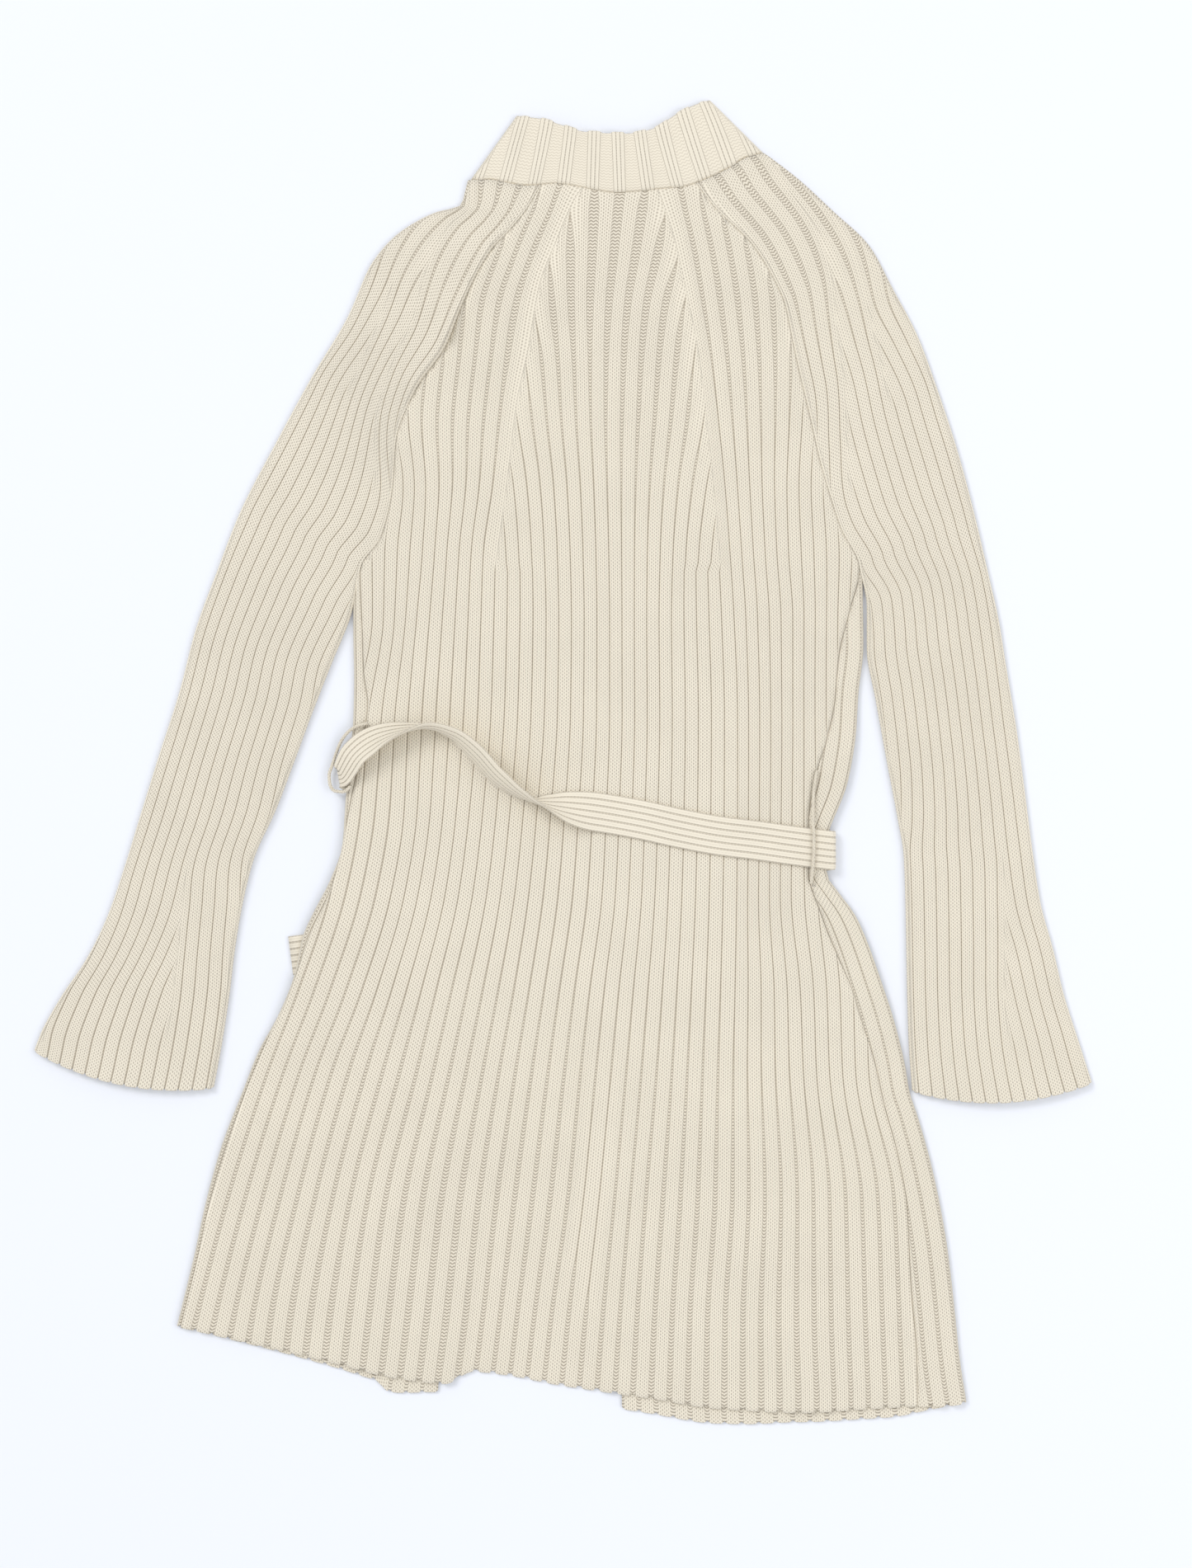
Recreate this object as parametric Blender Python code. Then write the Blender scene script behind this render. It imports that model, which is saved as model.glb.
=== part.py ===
"""A wrap cardigan in a chunky rib knit, lying flat with its back upward: metres, +Z up, origin under it.

Places on the cloth are read off one photograph, in its pixels: x to the right and y down.
"""

import math

import bpy
import numpy as np

MM = 0.001
PIXEL = 0.70 * MM  # what one pixel of the photograph spans on the cloth
MIDDLE_X, MIDDLE_Y = 682.5, 923.7  # the pixel over the origin

# The cloth, as real sizes
WALL = 1.8 * MM  # the knit without its ribs
RELIEF = 1.3 * MM  # how far a rib stands up from the groove beside it
LAYER_GAP = 0.6 * MM  # between two layers that lie on each other
SEAM_GAP = 0.32 * MM
FOLD_RADIUS = (2 * WALL + LAYER_GAP) / 2  # outside a folded edge
TOP = 2 * FOLD_RADIUS  # the upper layer's grooves
BELT_WIDTH = 33 * MM
BELT_WALL = 2.0 * MM
BELT_CLEARANCE = 0.5 * MM
BELT_TILT_ROOM = 0.35 * MM  # because its edges lie lower than its middle where it tilts
BELT_OFF_FLOOR = 0.05 * MM
FLAT_CURL = 0.001  # radians: as near to flat as the belt's curl gets
TAIL_LIFT = 2.4 * MM  # how far a front is raised over a hidden belt end
SLEEVE_PUFF = 2.5 * MM
COLLAR_PUFF = 2.0 * MM
LOOP_RADIUS = 1.5 * MM
STEP_DOWN = WALL + LAYER_GAP  # the back sinks by this between the two fronts

SEAM_PX = SEAM_GAP / PIXEL
FOLD_PX = FOLD_RADIUS / PIXEL

# The back's ribs, counted from its left side, and the two grooves that lie under its fashioning lines
RIBS_BACK = 41
DART_RIBS = (11, 29)
COLUMNS_PER_RIB = 2
RIB_START = 5  # pixels over which a rib or a groove comes up from a seam or a fashioning line

ARMPIT_LEVEL = 690
HEM_LEVEL = 1690
HEM_BEND_FROM = 1080  # rows lower than this bend towards the hem's slope
LEVELS = (230, 262, 300, 345, 400, 470, 545, 620, ARMPIT_LEVEL, 760, 840, 915, 970, 1006, 1057, 1115, 1190,
          1290, 1400, 1540, HEM_LEVEL)

# x, y of the seam under the collar
COLLAR_SEAM = ((568, 218), (591, 218), (639, 225), (674, 222), (711, 228), (744, 233), (770, 232), (797, 229),
               (829, 226), (856, 217), (883, 204), (907, 190), (928, 185))
# x, y of the collar's upper edge
COLLAR_EDGE = ((626, 140), (655, 143), (682, 151), (711, 159), (760, 161), (792, 155), (819, 138), (843, 126),
               (861, 121))

# seam x and upper edge x of each groove of the collar. The outer ones run off over its folds.
COLLAR_GROOVES = ((560, 590), (595, 619.5), (630, 649), (665, 678), (701, 706), (735, 735), (768, 762.5),
                  (804, 788), (838.5, 814), (870.5, 841), (900.5, 869), (930, 896))

# y, x: the back's edges, which are the raglan seams down to the armpits and the side seams below them
BACK_LEFT = ((226, 659), (256, 637), (279, 618), (298, 599), (330, 579), (370, 560), (420, 540), (472, 504),
             (535, 480), (591, 476), (651, 462), (690, 437), (756, 439), (816, 441), (854, 446), (915, 436),
             (985, 423), (1045, 411), (1080, 400), (1135, 374), (1190, 356), (1290, 311), (1393, 273),
             (1458, 254), (1522, 240), (1608, 219))
BACK_RIGHT = ((226, 841), (242, 853), (257, 871), (276, 892), (294, 910), (317, 926), (344, 941), (367, 951),
              (410, 960), (460, 971), (510, 983), (555, 993), (600, 1006), (640, 1019), (690, 1042),
              (740, 1030), (800, 1016), (850, 1012), (900, 1001), (935, 990), (1000, 980), (1058, 980),
              (1111, 996), (1161, 1016), (1197, 1032), (1233, 1043), (1290, 1061), (1340, 1072), (1399, 1088),
              (1461, 1099), (1557, 1104), (1646, 1111), (1704, 1112))
# y, x: the two lines where the middle ribs grow out
DART_LEFT = ((226, 709), (253, 691), (298, 672), (342, 655), (425, 640), (490, 626), (555, 618), (617, 610),
             (690, 600))
DART_RIGHT = ((226, 796), (279, 815), (320, 825), (369, 836), (433, 848), (507, 857), (590, 866), (690, 875))
# y, then x of every fifth groove. The middle ones are carried on past the lines above that they start from.
GROOVE_NUMBERS = (0, 5, 10, 15, 20, 25, 30, 35, 41)
GROOVES = ((226, 450, 568, 681, 598, 752, 906, 824, 933, 1062),
           (310, 434, 541, 644, 613, 744, 875, 843, 950, 1076),
           (370, 420, 521, 625, 624, 738, 852, 853, 958, 1079),
           (430, 418, 518, 615, 636, 735, 842, 862, 959, 1070),
           (510, 431, 511, 605, 645, 734, 833, 871, 957, 1050),
           (590, 448, 516, 597, 655, 736, 822, 879, 954, 1042),
           (670, 436, 512, 586, 660, 738, 816, 885, 956, 1048),
           (750, 438, 505, 583, 662, 739, 814, 890, 961, 1043),
           (865, 415, 495, 579, 660, 739, 815, 894, 961, 1042),
           (985, 402, 490, 569, 651, 735, 813, 894, 960, 1047),
           (1085, 382, 474, 556, 641, 730, 810, 893, 959, 1055),
           (1200, 343, 439, 529, 623, 715, 803, 891, 970, 1066),
           (1300, 305, 402, 505, 605, 704, 796, 889, 974, 1069),
           (1450, 256, 361, 468, 581, 689, 783, 888, 986, 1103),
           (1600, 215, 328, 447, 564, 668, 772, 879, 987, 1111),
           (1690, 190, 318, 436, 552, 658, 767, 878, 990, 1115))
# y, x: the folded edges of the body, where each front turns over to its side seam
BODY_LEFT = ((690, 428), (764, 428), (822, 429), (872, 428), (915, 424), (966, 419), (1024, 415), (1065, 401),
             (1104, 381), (1135, 367), (1181, 357), (1227, 339), (1275, 313), (1320, 295), (1393, 267),
             (1458, 249), (1522, 235), (1608, 214))
BODY_RIGHT = ((690, 1045), (707, 1046), (784, 1047), (841, 1041), (889, 1038), (923, 1033), (955, 1026),
              (983, 1015), (1002, 1007), (1018, 1002.5), (1040, 1001.5), (1060, 1002.5), (1081, 1016),
              (1108, 1036), (1138, 1050), (1197, 1071), (1227, 1081), (1263, 1091), (1294, 1098),
              (1322, 1102.5), (1354, 1113), (1407, 1128), (1461, 1140), (1514, 1149), (1581, 1157),
              (1648, 1164), (1700, 1172))
# y, x: the front edges, hidden under the back
FRONT_EDGE_LEFT = ((226, 690), (1000, 690), (1150, 668), (1300, 625), (1500, 565), (1682, 531))
FRONT_EDGE_RIGHT = ((226, 693), (1000, 693), (1150, 715), (1300, 735), (1476, 746), (1569, 749), (1700, 754))

# x, y of the back's hem, and how much further down the fronts reach
BACK_HEM = ((214, 1608), (303, 1628), (404, 1652), (489, 1672), (540, 1677), (573, 1663), (613, 1667),
            (682, 1680), (789, 1695), (866, 1707), (968, 1712), (1050, 1708), (1112, 1704), (1175, 1700))
FRONT_HEM_LONGER = ((214, 0), (360, 3), (440, 7), (456, 8), (470, 18), (531, 11), (620, 14), (755, 18),
                    (838, 19), (899, 17), (968, 12), (1078, 12), (1127, 6), (1175, 0))

# x, y of each sleeve's folded edge at the back's levels, then at rows below the armpit: seam x and y, folded
# edge x and y, rib number at the seam and at the folded edge, and ribs grown at the cuff's line
SLEEVE_LEFT_TOP = ((567, 220), (557, 249), (530, 256), (487, 279), (452, 316), (420, 386), (378, 456),
                   (336, 533), (290, 622))
SLEEVE_RIGHT_TOP = ((927, 186), (964, 213), (1012, 257), (1053, 296), (1084, 352), (1112, 405), (1138, 475),
                    (1163, 552), (1184, 632))
SLEEVE_LEFT = ((426, 743, 262, 694, 0.6, 12.6, 0), (402, 804, 237, 762, 0.2, 12.7, 0),
               (380, 860, 216, 842, 0.9, 12.7, 0), (356, 925, 193, 913, 1.2, 12.8, 0),
               (333, 985, 170, 987, 1.8, 12.8, 0), (308, 1040, 150, 1052, 2.25, 12.75, 0),
               (293, 1100, 130, 1110, 3.0, 13.4, 0.5), (284, 1155, 104, 1163, 3.3, 14.6, 1.5),
               (278, 1205, 75, 1206, 3.5, 15.8, 2.55), (268, 1270, 50, 1250, 3.6, 16.6, 3),
               (259, 1318, 41, 1273, 3.65, 16.9, 3))
SLEEVE_RIGHT = ((1051, 735, 1199, 697, 0.8, 12.5, 0), (1051, 787, 1211, 750, 0.55, 12.65, 0),
                (1062, 850, 1221, 812, 0.7, 12.75, 0), (1076, 927, 1233, 885, 1.1, 12.95, 0),
                (1088, 990, 1243, 960, 1.9, 12.9, 0), (1096, 1040, 1252, 1030, 2.7, 12.85, 0),
                (1098, 1100, 1262, 1095, 2.7, 13.4, 0.5), (1099, 1155, 1277, 1150, 2.7, 14.4, 1.5),
                (1100, 1205, 1290, 1205, 2.7, 15.3, 2.4), (1102, 1268, 1308, 1262, 2.7, 15.9, 3),
                (1106, 1322, 1324, 1312, 2.7, 15.95, 3))
# At the back's levels: rib number at the seam and at the folded edge, and ribs grown at the first two lines
SLEEVE_TOP_RIBS = ((0, 3.6, 0, 0), (0.2, 4.1, 0, 0), (0.4, 4.7, 0.1, 0), (0.5, 5.9, 0.5, 0),
                   (0.4, 7.7, 1.3, 0), (0.3, 9.9, 2.1, 1), (1.15, 11.65, 3.05, 2), (2.2, 12.7, 4, 2),
                   (1.9, 12.7, 4, 2))
# Sleeve ribs are numbered from the seam. Some grow out at lines inside the sleeve, two at the shoulder and
# one at the cuff: the number at each line, and how many ribs grow there
SLEEVE_RIBS = 17
GROWTH_LEFT = ((3.5, 4), (11.5, 2), (7.5, 3))
GROWTH_RIGHT = ((3.5, 4), (8.5, 2), (10.5, 3))
CUFF_BULGE = 19  # how far the cuff's edge bows out, in pixels
HIDDEN_NECK_GAP = 12  # seam gaps between the collar and the hidden layers, whose edges are straighter

# x0, y0 to x1, y1, half width, height in millimetres: soft ridges in the upper layer
SLEEVE_LEFT_RIDGES = ((612, 306, 546, 405, 15, 6.5), (546, 405, 500, 470, 16, 3.0))
BACK_RIDGES = ((640, 1420, 610, 1690, 34, 2.2), (455, 1480, 440, 1680, 26, 1.8),
               (930, 1350, 985, 1700, 36, 1.8), (720, 520, 735, 900, 50, 1.2), (950, 700, 925, 930, 34, 1.6))

# The belt from its left end under the left front to its right end, which shows past the left front's edge:
# where it lies, x, y, extra height in mm, direction across, roll and curl in degrees, width share
BELT = (("under", 600, 1000, 0, 72, 180, 0, 1), ("under", 520, 978, 0, 74, 180, 0, 1),
        ("under", 455, 956, 0, 80, 180, 0, 0.9), ("round", 411, 940, 0, 100, 180, 0, 0.62),
        ("over", 430, 916, 0.5, 142, 152, 30, 0.8), ("over", 447, 902, 0.5, 128, 148, 35, 0.84),
        ("over", 472, 891, 0.5, 108, 130, 55, 0.78), ("over", 516, 883, 0.5, 88, 88, 80, 0.66),
        ("over", 548, 893, 0.5, 66, 68, 70, 0.75), ("over", 575, 915, 0.5, 50, 56, 50, 0.83),
        ("over", 602, 944, 0.3, 48, 58, 45, 0.85), ("over", 628, 963, 0.3, 60, 70, 50, 0.75),
        ("over", 650, 973, 0.3, 72, 94, 55, 0.7), ("over", 668, 977, 0.2, 80, 128, 50, 0.75),
        ("over", 690, 980, 0.1, 83, 156, 30, 0.9), ("over", 727, 985, 0, 82, 178, 0, 1),
        ("over", 778, 994, 0, 80, 180, 0, 1), ("over", 823, 1004, 0, 80, 180, 0, 1),
        ("over", 871, 1013, 0, 83, 180, 0, 1), ("over", 919, 1019, 0, 85, 180, 0, 1),
        ("over", 954, 1024, 0, 84, 180, 0, 1), ("over", 992, 1029, 0, 86, 180, 0, 1),
        ("round", 1012, 1031, 0, 90, 180, 0, 1), ("under", 985, 1035, 0, 82, 180, 0, 1),
        ("under", 900, 1054, 0, 77, 180, 0, 1), ("under", 780, 1082, 0, 77, 180, 0, 1),
        ("under", 640, 1112, 0, 79, 180, 0, 1), ("under", 480, 1142, 0, 82, 180, 0, 1),
        ("under", 352, 1159, 0, 83, 180, 0, 1))
# The rows over the hidden belt ends: first, last, and how far the cloth slopes down above and below
LIFTED_ROWS = (915, 1190, 75, 100)

# x, y, height in millimetres: the two thin loops
LOOP_RIGHT = ((990, 934, 9.9), (986, 960, 10.0), (985, 985, 11.4), (985, 998, 12.9), (986, 1012, 13.0),
              (986, 1030, 13.0), (985, 1048, 12.9), (984, 1060, 11.8), (983, 1071, 10.2))
LOOP_LEFT = ((446, 877, 8.8), (434, 880, 8.8), (423, 887, 7.4), (414, 898, 5.8), (408, 912, 5.2),
             (403, 927, 5.0), (399, 940, 5.0), (400, 951, 5.2), (406, 959, 6.4), (416, 960, 9.4),
             (426, 953, 10.2))


def place(x, y, z):
    """The point over pixel x, y at height z, in metres."""
    return ((x - MIDDLE_X) * PIXEL, (MIDDLE_Y - y) * PIXEL, z)


def smooth(table, at):
    """The smooth curve through a table of two columns, with no overshoot, read at one or more places."""
    xs, ys = np.array(table, float).T
    steps = np.diff(xs)
    slopes = np.diff(ys) / steps
    tangents = np.concatenate([slopes[:1], np.zeros(len(xs) - 2), slopes[-1:]])
    same = slopes[:-1] * slopes[1:] > 0
    tangents[1:-1][same] = 2 * slopes[:-1][same] * slopes[1:][same] / (slopes[:-1][same] + slopes[1:][same])
    at = np.clip(np.asarray(at, float), xs[0], xs[-1])
    i = np.clip(np.searchsorted(xs, at, side="right") - 1, 0, len(xs) - 2)
    t = (at - xs[i]) / steps[i]
    return (
        (1 + 2 * t) * (1 - t) ** 2 * ys[i]
        + t * (1 - t) ** 2 * steps[i] * tangents[i]
        + t * t * (3 - 2 * t) * ys[i + 1]
        - t * t * (1 - t) * steps[i] * tangents[i + 1]
    )


def ease(t):
    t = min(max(t, 0.0), 1.0)
    return t * t * (3 - 2 * t)


def distance_to_path(x, y, path):
    """How far pixel x, y lies from a path of straight runs."""
    nearest = math.inf
    for (x0, y0), (x1, y1) in zip(path, path[1:]):
        along = ((x - x0) * (x1 - x0) + (y - y0) * (y1 - y0)) / ((x1 - x0) ** 2 + (y1 - y0) ** 2)
        along = min(max(along, 0), 1)
        nearest = min(nearest, math.hypot(x - x0 - along * (x1 - x0), y - y0 - along * (y1 - y0)))
    return nearest


def ridges(x, y, table):
    """How high the soft ridges of a table stand at pixel x, y."""
    height = 0.0
    for x0, y0, x1, y1, half_width, millimetres in table:
        away = distance_to_path(x, y, ((x0, y0), (x1, y1)))
        height += millimetres * MM * math.exp(-((away / half_width) ** 2))
    return height


def lift(y):
    """How far the belt's hidden ends raise the cloth at pixel row y."""
    from_row, to_row, above, below = LIFTED_ROWS
    return TAIL_LIFT * max(0, min((y - from_row + above) / above, (to_row + below - y) / below, 1))


def level_y(level, x, longer=0.0):
    """The pixel row of a level: straight across above the belt, and bent to the hem's slope below it."""
    bend = ease((level - HEM_BEND_FROM) / (HEM_LEVEL - HEM_BEND_FROM))
    hem = float(smooth(BACK_HEM, x)) + longer * float(smooth(FRONT_HEM_LONGER, x))
    return level + bend * (hem - HEM_LEVEL)


def at_level(edge, level, longer=0.0):
    """x, y where an edge crosses a level."""
    x = float(smooth(edge, level))
    for _ in range(4):
        x = float(smooth(edge, level_y(level, x, longer)))
    return x, level_y(level, x, longer)


def new_material(name, colour, roughness):
    material = bpy.data.materials.new(name)
    material.use_nodes = True
    shader = material.node_tree.nodes["Principled BSDF"]
    shader.inputs["Base Color"].default_value = (*colour, 1)
    shader.inputs["Roughness"].default_value = roughness
    return material


def wall_between(name, outer, inner, material, collection):
    """A closed wall from two grids of points, rows along the piece and columns across it.

    The outer grid's columns run so that, seen from outside, they go right as the rows go down."""
    rows, columns = len(outer), len(outer[0])
    points = [point for grid in (outer, inner) for row in grid for point in row]
    second = rows * columns

    def index(row, column):
        return row * columns + column

    faces = []
    for row in range(rows - 1):
        for column in range(columns - 1):
            corners = (index(row, column), index(row + 1, column),
                       index(row + 1, column + 1), index(row, column + 1))
            faces.append(corners)
            faces.append(tuple(second + corner for corner in reversed(corners)))
    rim = [index(row, 0) for row in range(rows)]
    rim += [index(rows - 1, column) for column in range(1, columns)]
    rim += [index(row, columns - 1) for row in range(rows - 2, -1, -1)]
    rim += [index(0, column) for column in range(columns - 2, 0, -1)]
    for here, after in zip(rim, rim[1:] + rim[:1]):
        faces.append((here, second + here, second + after, after))
    # Columns that end inside the panel lie on one another there, and are merged.
    kept, merged = {}, []
    for point in points:
        merged.append(kept.setdefault(tuple(round(value, 7) for value in point), len(kept)))
    flat = []
    for face in faces:
        corners = []
        for corner in (merged[vertex] for vertex in face):
            if corner not in corners:
                corners.append(corner)
        if len(corners) > 2:
            flat.append(corners)
    mesh = bpy.data.meshes.new(name)
    mesh.from_pydata(list(kept), [], flat)
    mesh.materials.append(material)
    piece = bpy.data.objects.new(name, mesh)
    collection.objects.link(piece)
    return piece


def between(number, knots):
    """x at a groove number, read between knots of groove number and x."""
    x = knots[0][1]
    for (start, start_x), (end, end_x) in zip(knots, knots[1:]):
        x += (end_x - start_x) * min(max((number - start) / (end - start), 0), 1)
    return x


def groove_x(number, y):
    """x of a groove of the back at pixel row y, or of a place between two grooves."""
    table = np.array(GROOVES, float)
    lines = [float(smooth(table[:, [0, column]], y)) for column in range(1, len(GROOVES[0]))]
    if y >= ARMPIT_LEVEL:
        return between(number, list(zip(GROOVE_NUMBERS, lines)))
    first, last = DART_RIBS
    first_x, last_x = float(smooth(DART_LEFT, y)), float(smooth(DART_RIGHT, y))
    if number < first:
        return between(number, list(zip(GROOVE_NUMBERS[:3] + (first,), lines[:3] + [first_x])))
    if number > last:
        return between(number, list(zip((last,) + GROOVE_NUMBERS[-3:], [last_x] + lines[-3:])))
    before, middle, after = lines[3:6]
    pitch = (middle - before if number < GROOVE_NUMBERS[4] else after - middle) / 5
    return min(max(middle + (number - GROOVE_NUMBERS[4]) * pitch, first_x), last_x)


def back_rib_x(number, level, left, right):
    """x of a groove of the back at a level, no further out than the panel's edges there."""
    x = groove_x(number, level)
    for _ in range(2):
        x = groove_x(number, level_y(level, x))
    return min(max(x, left), right)


def under_back(x, y):
    """The height of the back's underside: on the fronts, and on the floor between them."""
    left, right = float(smooth(FRONT_EDGE_LEFT, y)), float(smooth(FRONT_EDGE_RIGHT, y))
    clear, slope = 8, 24  # pixels from a front's edge to where the back starts to sink, and on to the floor
    sunk = ease((x - left - clear) / slope) * ease((right - clear - x) / slope)
    return STEP_DOWN * (1 - sunk) + lift(y) + ridges(x, y, BACK_RIDGES) * (1 - sunk)


def rib_height(step):
    """A groove at each whole rib and a crest between, for columns counted in parts of a rib."""
    return 0.0 if step % COLUMNS_PER_RIB == 0 else RELIEF


def make_back(material, collection):
    outer, inner = [], []
    for level in LEVELS:
        left, right = at_level(BACK_LEFT, level)[0] + SEAM_PX, at_level(BACK_RIGHT, level)[0] - SEAM_PX
        darts = float(smooth(DART_LEFT, level)), float(smooth(DART_RIGHT, level))
        top_row, bottom_row = [], []
        for step in range(RIBS_BACK * COLUMNS_PER_RIB + 1):
            x = back_rib_x(step / COLUMNS_PER_RIB, level, left, right)
            y = level_y(level, x)
            if level == LEVELS[0]:
                y = float(smooth(COLLAR_SEAM, x)) + 2 * SEAM_PX
            groove = RELIEF - rib_height(step)
            if level < ARMPIT_LEVEL:
                # A groove starts a little way from its fashioning line.
                groove *= ease(min(abs(x - dart) for dart in darts) / RIB_START)
            z = under_back(x, y)
            seamed = ease(min(x - left, right - x) / RIB_START)
            top_row.append(place(x, y, z + WALL + (RELIEF - groove) * seamed))
            bottom_row.append(place(x, y, z))
        outer.append(top_row)
        inner.append(bottom_row)
    return wall_between("back", outer, inner, material, collection)


def fold_arc(steps):
    """Angles from straight up round to straight down."""
    return [math.pi * (step + 1) / (steps + 1) for step in range(steps)]


def make_front(name, side, material, collection):
    """A front: its hidden panel under the back, the body's folded edge, and the strip up to the side seam."""
    front_edge, body_edge, seam = (
        (FRONT_EDGE_LEFT, BODY_LEFT, BACK_LEFT)
        if side < 0
        else (FRONT_EDGE_RIGHT, BODY_RIGHT, BACK_RIGHT)
    )
    panel_steps, crowding, arc_steps, strip_steps = 12, 1.6, 3, 3
    strip_relief = 0.8 * RELIEF
    inner_radius = LAYER_GAP / 2
    outer, inner = [], []
    for level in LEVELS:
        edge_x, _ = at_level(front_edge, level, longer=1)
        folded = level > ARMPIT_LEVEL
        seam_x, _ = at_level(seam, level)
        fold_x = at_level(body_edge, level, longer=1)[0] if folded else seam_x
        flat_to = fold_x - side * (FOLD_PX if folded else SEAM_PX)
        out_row, in_row = [], []
        for step in range(panel_steps + 1):
            x = edge_x + (flat_to - edge_x) * (1 - (1 - step / panel_steps) ** crowding)
            y = level_y(level, x, longer=1)
            if level == LEVELS[0]:
                y = float(smooth(COLLAR_SEAM, x)) + HIDDEN_NECK_GAP * SEAM_PX
            out_row.append(place(x, y, lift(y)))
            in_row.append(place(x, y, lift(y) + WALL))
        y = level_y(level, fold_x, longer=1)
        middle = lift(y) + FOLD_RADIUS
        for angle in reversed(fold_arc(arc_steps)):
            out, up = side * math.sin(angle), math.cos(angle)
            out_row.append(place(flat_to + FOLD_PX * out, y, middle + FOLD_RADIUS * up))
            in_row.append(place(flat_to + inner_radius / PIXEL * out, y, middle + inner_radius * up))
        for step in range(strip_steps + 1):
            part = step / strip_steps
            x = flat_to + (seam_x - flat_to) * part
            strip_y = level_y(level, x, longer=1 - part)
            z = under_back(x, y)
            out_row.append(place(x, strip_y, z + WALL + (strip_relief if 0 < part < 1 else 0)))
            in_row.append(place(x, strip_y, z))
        if not folded:
            # Above the armpits the panel ends at its seam, and all the points past it lie there.
            more = arc_steps + strip_steps + 1
            out_row[-more:] = [out_row[panel_steps]] * more
            in_row[-more:] = [in_row[panel_steps]] * more
        outer.append(out_row[::-side])
        inner.append(in_row[::-side])
    return wall_between(name, outer, inner, material, collection)


def sleeve_rows(side):
    """A sleeve's rows: seam point, folded-edge point, rib numbers there, ribs grown, and how closed it is."""
    edge, top, rows = (
        (BACK_LEFT, SLEEVE_LEFT_TOP, SLEEVE_LEFT)
        if side < 0
        else (BACK_RIGHT, SLEEVE_RIGHT_TOP, SLEEVE_RIGHT)
    )
    found = []
    for level, (x, y), (first, last, inner_grown, outer_grown) in zip(LEVELS, top, SLEEVE_TOP_RIBS):
        seam_x, seam_y = at_level(edge, level)
        if level == LEVELS[0]:
            seam_y = float(smooth(COLLAR_SEAM, seam_x)) + 2 * SEAM_PX
        found.append(((seam_x + side * SEAM_PX, seam_y), (x, y), first, last,
                      (inner_grown, outer_grown, 0), 0.0))
    for seam_x, seam_y, x, y, first, last, grown in rows:
        found.append(((seam_x, seam_y), (x, y), first, last, (4, 2, grown), 1.0))
    return found


def among_grown(number, growth, grown):
    """A rib number less the ribs before it that haven't grown out yet."""
    hidden = 0
    for (line, count), so_far in zip(growth, grown):
        hidden += min(max(number - line, 0), count - so_far)
    return number - hidden


def sleeve_groove(at, growth, grown):
    """How deep the grooves are at a place among the grown ribs. A new one starts a little past its line."""
    deepest = 0.0
    for number in range(SLEEVE_RIBS + 1):
        groove_at = among_grown(number, growth, grown)
        shown = 1.0
        for line, count in growth:
            if line < number < line + count:
                shown = ease((groove_at - among_grown(line, growth, grown)) * 4 - 1)
        deepest = max(deepest, shown * (1 - 2 * abs(at - groove_at)))
    return deepest


def underarm(angle, closed, upper):
    """The sleeve's edge under the arm, round where the sleeve is a tube and flat along the raglan seam.

    Gives the outer point's distance from the seam and height, then the inner point's."""
    sign = 1 if upper else -1
    inner_radius = LAYER_GAP / 2
    away, round_away = FOLD_PX * (1 - math.sin(angle)), FOLD_PX - inner_radius / PIXEL * math.sin(angle)
    flat_out, flat_in = (TOP, TOP - WALL) if upper else (0, WALL)
    round_out = FOLD_RADIUS * (1 + sign * math.cos(angle))
    round_in = FOLD_RADIUS + sign * inner_radius * math.cos(angle)
    return (away, flat_out + (round_out - flat_out) * closed,
            away + (round_away - away) * closed, flat_in + (round_in - flat_in) * closed)


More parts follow.
